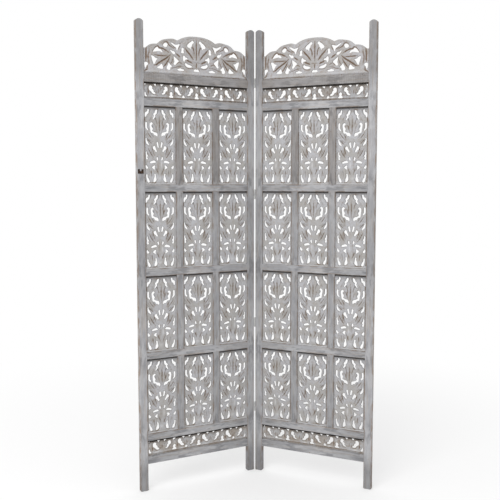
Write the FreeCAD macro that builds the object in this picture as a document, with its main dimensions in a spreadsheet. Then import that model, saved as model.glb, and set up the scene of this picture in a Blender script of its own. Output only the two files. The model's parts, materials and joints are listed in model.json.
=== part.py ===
import FreeCAD, Part
import os
import re

import Sketcher

# A two-leaf folding screen. Each leaf is a mortised frame of two stiles, seven rails and short
# muntins, which hold carved, pierced inserts in three columns and four rows, a carved frieze
# above and below them, and a scalloped carved crest between the stile tops.
# Lengths are in millimetres. A leaf is drawn flat, in its own frame: across runs from the hinged
# edge to the free edge, deep from the front to the back with 0 in mid thickness, up from the floor.

COLUMNS = 3
ROWS = 4
KNUCKLES = 3
SCREWS_PER_PLATE = 3

# Every size that can be set by itself: its alias, its value and what it is.
DRIVING_SIZES = (
    ("leaf_height", 1829.0, "height of a leaf, to the crown of its stiles"),
    ("leaf_width", 508.0, "width of a leaf, over its stiles"),
    ("frame_thickness", 18.0, "front to back of stiles, rails and muntins"),
    ("stile_width", 32.0, "face width of a stile"),
    ("stile_camber", 9.0, "rise of the rounded stile top"),
    ("stile_round", 3.0, "rounding of a stile's outer long edges"),
    ("foot_chamfer", 3.5, "chamfer at both corners of a foot"),
    ("foot_clearance", 107.5, "floor to the underside of the bottom rail"),
    ("end_rail_height", 31.0, "height of the bottom rail and of the crest rail"),
    ("rail_height", 28.0, "height of the five rails between them"),
    ("muntin_width", 28.5, "face width of a muntin"),
    ("arris_round", 1.0, "rounding of the other long edges of the frame"),
    ("frieze_opening", 62.0, "clear height between the rails that hold a frieze"),
    ("groove_depth", 6.0, "depth of the groove that holds the carved pieces"),
    ("tongue_thickness", 4.0, "thickness of the tongue in that groove"),
    ("tongue_gap", 0.5, "gap at the end of a tongue"),
    ("slide_clearance", 0.1, "clearance each side of a tongue or tenon"),
    ("tenon_length", 14.0, "length of a rail's tenon"),
    ("muntin_tenon_length", 9.0, "length of a muntin's tenon"),
    ("tenon_thickness", 6.0, "thickness of every tenon"),
    ("tenon_shoulder", 2.0, "shoulder between a tenon and the grooves beside it"),
    ("tenon_gap", 0.5, "gap at the end of a tenon"),
    ("carving_thickness", 9.0, "thickness of inserts, friezes and crest"),
    ("edge_gap", 0.5, "gap round the thick field of a carved piece"),
    ("insert_top_gap", 5.5, "gap over an insert's field, where its tongue shows"),
    ("frieze_top_gap", 6.0, "gap over a frieze's field"),
    ("frieze_foot_gap", 5.0, "gap under a frieze's field"),
    ("crest_rise", 154.0, "height of the crest over its rail, at the middle"),
    ("crown_reach", 47.1, "height of the stile tops over the middle of the crest"),
    ("crest_end_rise", 96.0, "height of the crest where it meets the stiles"),
    ("crest_foot_gap", 3.5, "gap under the crest's field"),
    ("frieze_unit", 107.5, "repeat of the frieze's pattern"),
    ("leaf_gap", 2.0, "gap between the two hinged stiles"),
    ("pivot_proud", 2.2, "hinge axis in front of the leaves' front faces"),
    ("fold_angle", 26.9, "turn of each leaf from flat, in degrees, as it stands"),
    ("hinge_top_share", 0.8852, "middle of the top hinge, as a share of the leaf's height"),
    ("hinge_upper_share", 0.6386, "middle of the second hinge, likewise"),
    ("hinge_lower_share", 0.3472, "middle of the third hinge, likewise"),
    ("hinge_bottom_share", 0.1509, "middle of the bottom hinge, likewise"),
    ("hinge_height", 38.0, "height of a hinge"),
    ("hinge_plate_width", 16.0, "width of a hinge plate from the axis"),
    ("hinge_plate_thickness", 1.5, "thickness of a hinge plate, let in flush"),
    ("barrel_radius", 2.2, "radius of the hinge barrel"),
    ("barrel_clearance", 0.5, "clearance between a barrel and the other leaf's plate"),
    ("knuckle_gap", 0.2, "gap between two knuckles"),
    ("pin_radius", 1.2, "radius of the hinge pin"),
    ("pin_clearance", 0.05, "running clearance of the hinge pin"),
    ("pin_head_radius", 1.8, "radius of the pin's heads"),
    ("pin_head_height", 0.8, "height of the pin's heads"),
    ("screw_length", 12.0, "length of a hinge screw"),
    ("screw_radius", 1.2, "radius of a hinge screw's shank"),
    ("screw_head_radius", 2.3, "radius of a hinge screw's countersunk head"),
    ("screw_head_depth", 1.2, "depth of that head"),
    ("screw_spacing", 12.0, "spacing of the screws in a plate"),
    ("screw_clearance", 0.05, "clearance round a screw"),
    ("screw_inset", 5.0, "hinge screws from the plate's far edge"),
    ("slot_width", 0.6, "width of a screw's slot"),
    ("slot_depth", 0.5, "depth of a screw's slot"),
    ("catch_width", 23.0, "width of the catch plate on the left stile"),
    ("catch_height", 17.0, "height of the catch plate"),
    ("catch_thickness", 1.2, "thickness of the catch plate"),
    ("catch_edge", 3.5, "catch plate from the stile's free edge"),
    ("catch_share", 0.6878, "middle of the catch plate, as a share of the leaf's height"),
    ("catch_notch_width", 7.0, "width of the notch in its top edge"),
    ("catch_notch_depth", 7.0, "depth of that notch"),
    ("catch_screw_radius", 0.9, "radius of a catch screw's shank"),
    ("catch_screw_length", 9.0, "length of a catch screw under its head"),
    ("catch_head_radius", 1.8, "radius of a catch screw's head"),
    ("catch_head_height", 0.8, "height of a catch screw's head"),
    ("catch_screw_inset", 4.0, "catch screws from the plate's edges"),
    ("overrun", 2.0, "how far a cutter runs past the face that it opens"),
)

# What follows from them, in the same sheet language, each line after those that it uses.
WORKED_OUT = (
    ("half_thickness", "frame_thickness / 2"),
    ("inner_width", "leaf_width - 2 * stile_width"),
    ("opening_width", f"(inner_width - {COLUMNS - 1} * muntin_width) / {COLUMNS}"),
    ("column_pitch", "opening_width + muntin_width"),
    ("carved_height", "leaf_height - foot_clearance - crest_rise - crown_reach"),
    ("row_opening", "(carved_height - 2 * end_rail_height - 2 * frieze_opening"
                    f" - {ROWS + 1} * rail_height) / {ROWS}"),
    ("row_pitch", "row_opening + rail_height"),
    ("low_frieze_level", "foot_clearance + end_rail_height"),
    ("first_rail_level", "low_frieze_level + frieze_opening"),
    ("first_row_level", "first_rail_level + rail_height"),
    ("frieze_rail_level", f"first_rail_level + {ROWS} * row_pitch"),
    ("high_frieze_level", "frieze_rail_level + rail_height"),
    ("crest_rail_level", "high_frieze_level + frieze_opening"),
    ("crest_level", "crest_rail_level + end_rail_height"),
    ("groove_width", "tongue_thickness + 2 * slide_clearance"),
    ("tongue_reach", "groove_depth - tongue_gap"),
    ("mortise_width", "tenon_thickness + 2 * slide_clearance"),
    ("shoulder_total", "2 * (groove_depth + tenon_shoulder)"),
    ("muntin_tenon_width", "muntin_width - shoulder_total"),
    ("axis_across", "0 - leaf_gap / 2"),
    ("axis_deep", "0 - half_thickness - pivot_proud"),
    ("knuckle_height", f"(hinge_height - {KNUCKLES - 1} * knuckle_gap) / {KNUCKLES}"),
    ("knuckle_step", "knuckle_height + knuckle_gap"),
    ("bore_radius", "pin_radius + pin_clearance"),
    ("clear_radius", "barrel_radius + barrel_clearance"),
    ("screw_deep", "axis_deep + hinge_plate_width - screw_inset"),
    ("pilot_radius", "screw_radius + screw_clearance"),
    ("catch_left", "leaf_width - catch_edge - catch_width"),
    ("catch_foot", "leaf_height * catch_share - catch_height / 2"),
    ("hinge_top_level", "leaf_height * hinge_top_share"),
    ("hinge_upper_level", "leaf_height * hinge_upper_share"),
    ("hinge_lower_level", "leaf_height * hinge_lower_share"),
    ("hinge_bottom_level", "leaf_height * hinge_bottom_share"),
    ("camber_radius", "(stile_width ^ 2 / 4 + stile_camber ^ 2) / (2 * stile_camber)"),
    ("hinge_back", "((leaf_gap + leaf_width) * sin(fold_angle)"
                   " - (2 * pivot_proud + frame_thickness) * cos(fold_angle)) / 2"),
    ("leaf_across", "leaf_gap / 2 * cos(fold_angle) - axis_deep * sin(fold_angle)"),
    ("leaf_back", "hinge_back - leaf_gap / 2 * sin(fold_angle) - axis_deep * cos(fold_angle)"),
)

doc = FreeCAD.newDocument("jali_screen")
sizes = doc.addObject("Spreadsheet::Sheet", "sizes")
layout = doc.addObject("Spreadsheet::Sheet", "layout")


def full(formula):
    """Puts the sheet's name before every alias in a formula."""
    def owner(match):
        word = match.group(0)
        if word in size_names:
            return f"sizes.{word}"
        return f"layout.{word}" if word in layout_names else word
    return re.sub(r"[a-z_]+", owner, formula)


size_names = [alias for alias, amount, note in DRIVING_SIZES]
layout_names = [alias for alias, formula in WORKED_OUT]
for row, (alias, amount, note) in enumerate(DRIVING_SIZES, 1):
    sizes.set(f"A{row}", note)
    sizes.set(f"B{row}", str(amount))
    sizes.setAlias(f"B{row}", alias)
doc.recompute()
for row, (alias, formula) in enumerate(WORKED_OUT, 1):
    layout.set(f"B{row}", "=" + full(formula))
    layout.setAlias(f"B{row}", alias)
    doc.recompute()


def value(alias):
    return float((sizes if alias in size_names else layout).get(alias))


def bind(thing, formulas):
    for name, formula in formulas.items():
        thing.setExpression(name, full(formula))
    return thing


def place(thing, across, deep, up):
    places = (across, deep, up)
    return bind(thing, {f"Placement.Base.{axis}": places[i] for i, axis in enumerate("xyz")})


def block(name, length, width, height, across="0", deep="0", up="0"):
    thing = doc.addObject("Part::Box", name)
    bind(thing, {"Length": length, "Width": width, "Height": height})
    return place(thing, across, deep, up)


def rod(name, radius, length, across="0", deep="0", up="0", turn=None):
    thing = doc.addObject("Part::Cylinder", name)
    bind(thing, {"Radius": radius, "Height": length})
    if turn:
        thing.Placement = FreeCAD.Placement(FreeCAD.Vector(), turn)
    return place(thing, across, deep, up)


def fuse(name, things):
    if len(things) == 1:
        return things[0]
    thing = doc.addObject("Part::MultiFuse", name)
    thing.Shapes = things
    return thing


def cut(name, base, tools):
    thing = doc.addObject("Part::Cut", name)
    thing.Base = base
    thing.Tool = fuse(f"{name}_tools", tools)
    return thing


def copy_at(name, source, across="0", deep="0", up="0"):
    thing = doc.addObject("App::Link", name)
    thing.LinkedObject = source
    return place(thing, across, deep, up)


def group(name, things):
    thing = doc.addObject("Part::Compound", name)
    thing.Links = things
    return thing


def rounded(name, base, radius, direction, from_share=0.0, to_share=1.0):
    """Rounds the long straight edges along one direction that lie within a share of the width."""
    doc.recompute()
    box = base.Shape.BoundBox
    reach = {"x": box.XLength, "z": box.ZLength}[direction] / 2
    thing = doc.addObject("Part::Fillet", name)
    thing.Base = base
    edges = []
    for number, edge in enumerate(base.Shape.Edges, 1):
        span = {"x": edge.BoundBox.XLength, "z": edge.BoundBox.ZLength}[direction]
        across_share = (edge.BoundBox.Center.x - box.XMin) / box.XLength
        if span > reach and from_share <= across_share <= to_share:
            edges.append((number, value(radius), value(radius)))
    thing.Edges = edges
    return thing


along_across = FreeCAD.Rotation(FreeCAD.Vector(0, 1, 0), 90)
along_deep = FreeCAD.Rotation(FreeCAD.Vector(-1, 0, 0), 90)
nodes = {}


def stand(thing):
    """Turns and moves a piece of a flat leaf to where the right leaf stands."""
    bind(thing, {"Placement.Rotation.Angle": "0 - fold_angle"})
    thing.Placement.Rotation.Axis = FreeCAD.Vector(0, 0, 1)
    return place(thing, "leaf_across", "leaf_back", "0")


def mirrored(name, source, plane_across=0.0):
    thing = doc.addObject("Part::Mirroring", name)
    thing.Source = source
    thing.Base = FreeCAD.Vector(plane_across, 0, 0)
    thing.Normal = FreeCAD.Vector(1, 0, 0)
    return thing


def right_node(name, things):
    nodes[name] = stand(group(name, things))
    return nodes[name]


def left_node(name, things):
    nodes[name] = mirrored(name, stand(group(f"{name}_mirrored", things)))


def both_nodes(name, things):
    """One node in the right leaf, and its mirror image in the left leaf."""
    nodes[f"left_{name}"] = mirrored(f"left_{name}", right_node(f"right_{name}", things))


# Stiles. The pattern is the hinged stile: a cambered board with chamfered feet, a groove for the
# carved pieces and a mortise for each rail. The free stile is its mirror image across the leaf.

def stile_profile(body):
    """Draws the front of the stile, with both foot chamfers and the cambered top."""
    sketch = body.newObject("Sketcher::SketchObject", "stile_profile")
    plane = [f for f in body.Origin.OriginFeatures if f.Role == "XZ_Plane"][0]
    sketch.AttachmentSupport = [(plane, "")]
    sketch.MapMode = "FlatFace"
    corners = (
        ("foot_chamfer", "0"),
        ("stile_width - foot_chamfer", "0"),
        ("stile_width", "foot_chamfer"),
        ("stile_width", "leaf_height - stile_camber"),
        ("0", "leaf_height - stile_camber"),
        ("0", "foot_chamfer"),
    )
    chamfer = value("foot_chamfer")
    width = value("stile_width")
    shoulder = value("leaf_height") - value("stile_camber")
    points = [
        FreeCAD.Vector(chamfer, 0, 0),
        FreeCAD.Vector(width - chamfer, 0, 0),
        FreeCAD.Vector(width, chamfer, 0),
        FreeCAD.Vector(width, shoulder, 0),
        FreeCAD.Vector(0, shoulder, 0),
        FreeCAD.Vector(0, chamfer, 0),
    ]
    crown = FreeCAD.Vector(width / 2, value("leaf_height"), 0)
    for i, start in enumerate(points):
        end = points[(i + 1) % len(points)]
        if i == 3:
            sketch.addGeometry(Part.Arc(start, crown, end), False)
        else:
            sketch.addGeometry(Part.LineSegment(start, end), False)
    for i in range(len(points)):
        after = (i + 1) % len(points)
        sketch.addConstraint(Sketcher.Constraint("Coincident", i, 2, after, 1))
    for i, (across, up) in enumerate(corners):
        distances = (("DistanceX", across, points[i].x), ("DistanceY", up, points[i].y))
        for kind, formula, amount in distances:
            number = sketch.addConstraint(Sketcher.Constraint(kind, -1, 1, i, 1, amount))
            sketch.setExpression(f"Constraints[{number}]", full(formula))
    number = sketch.addConstraint(Sketcher.Constraint("Radius", 3, value("camber_radius")))
    sketch.setExpression(f"Constraints[{number}]", full("camber_radius"))
    return sketch


stile_body = doc.addObject("PartDesign::Body", "stile_body")
profile = stile_profile(stile_body)
stile_pad = stile_body.newObject("PartDesign::Pad", "stile_pad")
stile_pad.Profile = profile
stile_pad.SideType = "Symmetric"
bind(stile_pad, {"Length": "frame_thickness"})
outer_share = 0.5
half_rounded = rounded("half_rounded_stile", stile_body, "stile_round", "z", 0.0, outer_share)
stile_board = rounded("stile_board", half_rounded, "arris_round", "z", outer_share, 1.0)

# Rails from the crest down: name, underside, height, and whether muntins stand above and below.
RAILS = [("crest_rail", "crest_rail_level", "end_rail_height", False, False),
         ("frieze_rail", "frieze_rail_level", "rail_height", False, True)]
for i, name in enumerate(("upper_rail", "middle_rail", "lower_rail")):
    RAILS.append((name, f"first_rail_level + {ROWS - 1 - i} * row_pitch", "rail_height", True, True))
RAILS.append(("sill_rail", "first_rail_level", "rail_height", True, False))
RAILS.append(("bottom_rail", "foot_clearance", "end_rail_height", False, False))

stile_tools = [block("stile_groove", "groove_depth + overrun", "groove_width",
                     "crest_level + crest_end_rise - low_frieze_level + groove_depth",
                     "stile_width - groove_depth", "0 - groove_width / 2",
                     "low_frieze_level - groove_depth")]
for name, level, height, above, below in RAILS:
    stile_tools.append(block(f"{name}_mortise", "tenon_length + tenon_gap + overrun", "mortise_width",
                             f"{height} - shoulder_total + 2 * slide_clearance",
                             "stile_width - tenon_length - tenon_gap", "0 - mortise_width / 2",
                             f"{level} + shoulder_total / 2 - slide_clearance"))
stile_pattern = cut("stile_pattern", stile_board, stile_tools)

HINGES = ("top", "upper", "lower", "bottom")
hinge_cuts = []
for hinge in HINGES:
    hinge_cuts.append(block(f"hinge_{hinge}_seat", "hinge_plate_thickness + overrun",
                            "axis_deep + hinge_plate_width + slide_clearance + half_thickness"
                            " + overrun", "hinge_height + 2 * slide_clearance", "0 - overrun",
                            "0 - half_thickness - overrun",
                            f"hinge_{hinge}_level - hinge_height / 2 - slide_clearance"))
    for i in range(SCREWS_PER_PLATE):
        step = i - (SCREWS_PER_PLATE - 1) / 2
        hinge_cuts.append(rod(f"hinge_{hinge}_pilot_{i + 1}", "pilot_radius",
                              "screw_length + overrun + tenon_gap", "0 - overrun", "screw_deep",
                              f"hinge_{hinge}_level + {step} * screw_spacing", along_across))
hinged_stile = cut("hinged_stile", stile_pattern, hinge_cuts)
both_nodes("hinged_stile", [hinged_stile])

free_stile = mirrored("free_stile", stile_pattern)
bind(free_stile, {"Base.x": "leaf_width / 2"})
catch_spots = (("catch_left + catch_screw_inset", "low"),
               ("catch_left + catch_width - catch_screw_inset", "high"))
catch_pilots = []
for across, name in catch_spots:
    catch_pilots.append(rod(f"catch_pilot_{name}", "catch_screw_radius + screw_clearance",
                            "overrun + catch_screw_length - catch_thickness + tenon_gap",
                            across, "0 - half_thickness - overrun",
                            "catch_foot + catch_screw_inset", along_deep))
right_node("right_free_stile", [free_stile])
left_node("left_free_stile", [cut("free_stile_with_pilots", free_stile, catch_pilots)])

# Rails. A board with rounded long edges and a tenon through its whole length, grooved along the
# edges that hold carved pieces and mortised where muntins stand.


def muntin_across(i):
    return f"stile_width + {i + 1} * column_pitch - muntin_width"


for name, level, height, above, below in RAILS:
    board = rounded(f"{name}_board", block(f"{name}_blank", "inner_width", "frame_thickness", height,
                                           "stile_width", "0 - half_thickness", level),
                    "arris_round", "x")
    tenon = block(f"{name}_tenon", "inner_width + 2 * tenon_length", "tenon_thickness",
                  f"{height} - shoulder_total", "stile_width - tenon_length",
                  "0 - tenon_thickness / 2", f"{level} + shoulder_total / 2")
    tools = []
    edges = [("top", f"{level} + {height} - groove_depth")]
    if name != "bottom_rail":
        edges.append(("under", f"{level} - overrun"))
    for edge, up in edges:
        tools.append(block(f"{name}_{edge}_groove", "inner_width + 2 * overrun", "groove_width",
                           "groove_depth + overrun", "stile_width - overrun", "0 - groove_width / 2", up))
    for stands, edge, up in ((above, "top", f"{level} + {height} - muntin_tenon_length - tenon_gap"),
                             (below, "under", f"{level} - overrun")):
        for i in range(COLUMNS - 1) if stands else ():
            tools.append(block(f"{name}_{edge}_mortise_{i + 1}",
                               "muntin_tenon_width + 2 * slide_clearance", "mortise_width",
                               "muntin_tenon_length + tenon_gap + overrun",
                               f"{muntin_across(i)} + shoulder_total / 2 - slide_clearance",
                               "0 - mortise_width / 2", up))
    rail = cut(name, fuse(f"{name}_uncut", [board, tenon]), tools)
    both_nodes(f"leaf_{name}", [rail])

# Muntins. One pattern, grooved down both edges, with a tenon at each end.

muntin_board = rounded("muntin_board", block("muntin_blank", "muntin_width", "frame_thickness",
                                             "row_opening", "0", "0 - half_thickness"),
                       "arris_round", "z")
muntin_tenon = block("muntin_tenon", "muntin_tenon_width", "tenon_thickness",
                     "row_opening + 2 * muntin_tenon_length", "shoulder_total / 2",
                     "0 - tenon_thickness / 2", "0 - muntin_tenon_length")
muntin_tools = []
for side, across in (("near", "0 - overrun"), ("far", "muntin_width - groove_depth")):
    muntin_tools.append(block(f"muntin_{side}_groove", "groove_depth + overrun", "groove_width",
                              "row_opening + 2 * overrun", across, "0 - groove_width / 2",
                              "0 - overrun"))
muntin = cut("muntin_pattern", fuse("muntin_uncut", [muntin_board, muntin_tenon]), muntin_tools)

# Inserts. The pierced openings of the right half, as shares of half the opening's width from its
# middle and of the opening's height from its foot. The left half mirrors them.

INSERT_SHARES = {
    "top_inner_slit": ((0.129, 0.952), (0.217, 0.956), (0.284, 0.938), (0.307, 0.921), (0.401, 0.900),
                       (0.363, 0.877), (0.432, 0.842), (0.385, 0.831), (0.308, 0.852), (0.244, 0.866),
                       (0.252, 0.889), (0.160, 0.909)),
    "top_outer_slit": ((0.646, 0.955), (0.746, 0.960), (0.780, 0.932), (0.880, 0.922), (0.921, 0.904),
                       (0.911, 0.865), (0.827, 0.866), (0.778, 0.892), (0.684, 0.909)),
    "wreath_gap": ((0.411, 0.779), (0.492, 0.797), (0.612, 0.781), (0.630, 0.757), (0.606, 0.717),
                   (0.573, 0.672), (0.514, 0.661), (0.422, 0.658), (0.329, 0.631), (0.234, 0.628),
                   (0.140, 0.613), (0.109, 0.636), (0.159, 0.662), (0.348, 0.675), (0.451, 0.691),
                   (0.411, 0.717), (0.488, 0.750), (0.467, 0.766)),
    "upper_side_slit": ((0.776, 0.792), (0.880, 0.792), (0.900, 0.753), (0.875, 0.717), (0.737, 0.691),
                        (0.702, 0.703), (0.765, 0.727), (0.772, 0.760)),
    "middle_side_slit": ((0.806, 0.601), (0.891, 0.582), (0.866, 0.532), (0.777, 0.511), (0.647, 0.496),
                         (0.689, 0.525), (0.759, 0.549), (0.819, 0.574)),
    "fan_inner_slit": ((0.101, 0.546), (0.201, 0.537), (0.180, 0.507), (0.125, 0.475), (0.048, 0.478),
                       (0.068, 0.513)),
    "fan_outer_slit": ((0.321, 0.497), (0.433, 0.483), (0.433, 0.457), (0.323, 0.439), (0.245, 0.417),
                       (0.162, 0.427), (0.232, 0.460), (0.271, 0.483)),
    "lower_side_slit": ((0.814, 0.428), (0.892, 0.409), (0.876, 0.368), (0.863, 0.322), (0.745, 0.327),
                        (0.781, 0.351), (0.735, 0.368), (0.806, 0.392)),
    "seed_hole": ((0.125, 0.355), (0.218, 0.341), (0.156, 0.310), (0.088, 0.314), (0.103, 0.338)),
    "wing_slit": ((0.235, 0.285), (0.304, 0.306), (0.405, 0.307), (0.609, 0.291), (0.598, 0.272),
                  (0.432, 0.276)),
    "heart_hole": ((0.299, 0.244), (0.383, 0.244), (0.502, 0.219), (0.408, 0.201), (0.303, 0.191),
                   (0.318, 0.217)),
    "side_heart_hole": ((0.861, 0.255), (0.907, 0.227), (0.832, 0.199), (0.725, 0.216), (0.806, 0.237)),
    "foot_inner_slit": ((0.275, 0.137), (0.356, 0.134), (0.345, 0.105), (0.407, 0.069), (0.416, 0.031),
                        (0.324, 0.032), (0.213, 0.057), (0.235, 0.099)),
    "foot_outer_slit": ((0.797, 0.130), (0.876, 0.123), (0.855, 0.073), (0.777, 0.028), (0.644, 0.031),
                        (0.673, 0.063), (0.765, 0.092)),
}

# The crest's openings, as shares of half the inner width and of the crest's rise.

CREST_SHARES = {
    "petal_gap": ((0.044, 0.857), (0.075, 0.901), (0.102, 0.868), (0.147, 0.821), (0.181, 0.760),
                  (0.160, 0.714), (0.133, 0.710), (0.123, 0.667), (0.107, 0.686), (0.102, 0.729),
                  (0.084, 0.758), (0.073, 0.810)),
    "cheek_hole": ((0.240, 0.691), (0.269, 0.705), (0.288, 0.671), (0.285, 0.638), (0.295, 0.581),
                   (0.265, 0.567), (0.233, 0.578), (0.242, 0.632)),
    "tee_hole": ((0.224, 0.508), (0.253, 0.501), (0.261, 0.425), (0.247, 0.363), (0.223, 0.369),
                 (0.212, 0.411), (0.170, 0.419), (0.173, 0.455), (0.207, 0.471)),
    "scroll_slit": ((0.078, 0.249), (0.120, 0.284), (0.165, 0.300), (0.199, 0.329), (0.223, 0.305),
                    (0.209, 0.256), (0.170, 0.224), (0.120, 0.221)),
    "side_flat_slit": ((0.238, 0.165), (0.270, 0.172), (0.303, 0.189), (0.339, 0.172), (0.368, 0.157),
                       (0.349, 0.128), (0.271, 0.125), (0.241, 0.136)),
    "spread_hole": ((0.316, 0.781), (0.361, 0.770), (0.405, 0.764), (0.454, 0.802), (0.494, 0.802),
                    (0.448, 0.740), (0.412, 0.707), (0.391, 0.683), (0.378, 0.623), (0.360, 0.627),
                    (0.343, 0.690)),
    "small_slit": ((0.403, 0.563), (0.426, 0.597), (0.458, 0.601), (0.480, 0.627), (0.500, 0.615),
                   (0.473, 0.561), (0.441, 0.524), (0.408, 0.532)),
    "star_hole": ((0.432, 0.475), (0.383, 0.432), (0.335, 0.366), (0.364, 0.319), (0.408, 0.257),
                  (0.439, 0.285), (0.423, 0.341), (0.430, 0.404)),
    "flame_hole": ((0.464, 0.225), (0.502, 0.273), (0.524, 0.320), (0.546, 0.252), (0.569, 0.180),
                   (0.545, 0.134), (0.499, 0.138), (0.492, 0.191)),
    "bud_hole": ((0.626, 0.175), (0.645, 0.256), (0.665, 0.263), (0.702, 0.213), (0.740, 0.179),
                 (0.724, 0.153), (0.645, 0.143)),
    "teardrop_hole": ((0.542, 0.763), (0.574, 0.789), (0.610, 0.769), (0.632, 0.721), (0.610, 0.685),
                      (0.565, 0.685), (0.547, 0.724)),
    "arch_slit": ((0.635, 0.562), (0.668, 0.617), (0.708, 0.636), (0.729, 0.673), (0.775, 0.633),
                  (0.816, 0.548), (0.768, 0.553), (0.701, 0.569), (0.665, 0.549)),
    "wedge_hole": ((0.847, 0.451), (0.841, 0.381), (0.825, 0.309), (0.803, 0.237), (0.782, 0.262),
                   (0.751, 0.347), (0.727, 0.385), (0.767, 0.400), (0.802, 0.439)),
    "end_hole": ((0.909, 0.265), (0.942, 0.283), (0.974, 0.262), (0.974, 0.192), (0.959, 0.137),
                 (0.940, 0.151), (0.931, 0.194), (0.909, 0.223)),
}
CREST_MIDDLE_SHARES = ((0.000, 0.183), (0.025, 0.193), (0.057, 0.156), (0.051, 0.132), (0.000, 0.129),
                       (-0.051, 0.132), (-0.057, 0.156), (-0.025, 0.193))

# The right half of the crest's top edge, lobe by lobe, in the same shares.
CREST_LOBE_SHARES = (
    ((0.000, 1.000), (0.135, 0.990), (0.270, 0.938), (0.365, 0.867)),
    ((0.365, 0.867), (0.450, 0.899), (0.563, 0.880), (0.653, 0.844), (0.712, 0.782), (0.739, 0.744)),
    ((0.739, 0.744), (0.811, 0.737), (0.865, 0.718), (0.910, 0.679), (0.955, 0.623)),
)

# The frieze repeats one unit between bell-shaped openings. Shares of the unit's width from the
# middle of a bell, and of the opening's height.

CUP_SHARES = {
    "near_cup_gap": ((0.137, 0.644), (0.162, 0.764), (0.227, 0.798), (0.287, 0.720), (0.278, 0.631),
                     (0.328, 0.535), (0.338, 0.447), (0.403, 0.354), (0.367, 0.288), (0.278, 0.321),
                     (0.222, 0.442), (0.156, 0.509)),
    "far_cup_gap": ((0.870, 0.621), (0.850, 0.740), (0.786, 0.790), (0.726, 0.712), (0.744, 0.615),
                    (0.693, 0.519), (0.694, 0.423), (0.624, 0.321), (0.674, 0.282), (0.756, 0.341),
                    (0.799, 0.478), (0.855, 0.535)),
}
TOP_NOTCH_SHARES = {
    "near_top_notch": ((0.313, 0.944), (0.432, 0.944), (0.425, 0.815), (0.384, 0.763)),
    "far_top_notch": ((0.572, 0.944), (0.713, 0.944), (0.664, 0.825), (0.626, 0.762), (0.585, 0.811)),
}
FOOT_HOLE_SHARES = ((0.477, 0.309), (0.539, 0.174), (0.477, 0.134), (0.414, 0.174))
BELL_GAP_SHARES = ((0.000, 0.492), (0.052, 0.425), (0.058, 0.327), (0.044, 0.264), (0.090, 0.190),
                   (0.071, 0.123), (0.000, 0.115), (-0.071, 0.123), (-0.090, 0.190), (-0.044, 0.264),
                   (-0.058, 0.327), (-0.052, 0.425))
BELL_NOTCH_SHARES = ((0.000, 0.747), (0.066, 0.848), (0.066, 0.944), (-0.066, 0.944),
                     (-0.066, 0.848))
END_SLIT_SHARES = ((0.051, 0.380), (0.092, 0.389), (0.105, 0.271), (0.151, 0.158), (0.123, 0.116),
                   (0.065, 0.142), (0.044, 0.249))
END_NOTCH_SHARES = ((0.044, 0.782), (0.105, 0.863), (0.105, 0.944), (0.038, 0.944))
FRIEZE_UNITS = 4


def opening(shares, width, height, middle, side):
    """A smooth closed curve through the points, in the plane of a carving's front."""
    front = -value("carving_thickness") / 2
    points = [FreeCAD.Vector(middle + side * x * width, front, z * height) for x, z in shares]
    curve = Part.BSplineCurve()
    curve.interpolate(points, PeriodicFlag=True)
    return Part.Wire([curve.toShape()])


def line(start, end):
    """A straight edge in the same plane, from places across and up."""
    front = -value("carving_thickness") / 2
    return Part.LineSegment(FreeCAD.Vector(start[0], front, start[1]),
                            FreeCAD.Vector(end[0], front, end[1])).toShape()


def pierced(name, outline, cells):
    """The thick field of a carved piece, with its openings straight through."""
    wires = [Part.Wire(Part.__sortEdges__(outline))] + [opening(*cell) for cell in cells]
    face = Part.makeFace(wires, "Part::FaceMakerBullseye")
    thing = doc.addObject("Part::Feature", name)
    thing.Shape = face.extrude(FreeCAD.Vector(0, value("carving_thickness"), 0))
    return thing


def pierced_board(name, width, height, side_gap, foot_gap, top_gap, cells):
    """A pierced field with straight edges, set back from its place by a gap at each edge."""
    near, far = side_gap, width - side_gap
    foot, top = foot_gap, height - top_gap
    corners = ((near, foot), (far, foot), (far, top), (near, top))
    outline = [line(corners[i], corners[(i + 1) % 4]) for i in range(4)]
    return pierced(name, outline, cells)


def tongue(name, across, up, width, height):
    return block(name, width, "tongue_thickness", height, across, "0 - tongue_thickness / 2", up)


def tongue_ring(name, width, height, foot_gap, top_gap):
    """The thin edge all round a straight-edged field, which the grooves hold."""
    outer = tongue(f"{name}_outer", "0 - tongue_reach", "0 - tongue_reach",
                   f"{width} + 2 * tongue_reach", f"{height} + 2 * tongue_reach")
    inner = block(f"{name}_inner", f"{width} - 2 * edge_gap", "tongue_thickness + 2 * overrun",
                  f"{height} - {foot_gap} - {top_gap}", "edge_gap",
                  "0 - tongue_thickness / 2 - overrun", foot_gap)
    return cut(name, outer, [inner])


half_opening = value("opening_width") / 2
insert_cells = [(shares, half_opening, value("row_opening"), half_opening, side)
                for shares in INSERT_SHARES.values() for side in (-1, 1)]
insert_field = pierced_board("insert_field", value("opening_width"), value("row_opening"),
                             value("edge_gap"), value("edge_gap"), value("insert_top_gap"),
                             insert_cells)
insert = fuse("insert_pattern", [insert_field, tongue_ring("insert_tongue", "opening_width",
                                                           "row_opening", "edge_gap",
                                                           "insert_top_gap")])

for i in range(ROWS):
    row = i + 1
    level = f"first_row_level + {ROWS - row} * row_pitch"
    inserts = [copy_at(f"insert_{row}_{j + 1}", insert, f"stile_width + {j} * column_pitch", "0", level)
               for j in range(COLUMNS)]
    muntins = [copy_at(f"muntin_{row}_{j + 1}", muntin, muntin_across(j), "0", level)
               for j in range(COLUMNS - 1)]
    both_nodes(f"carved_inserts_row_{row}", inserts)
    both_nodes(f"muntins_row_{row}", muntins)

# Friezes. One pattern in two places: the units count from the free stile, and the second and
# fourth have a notch at the foot.

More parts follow.
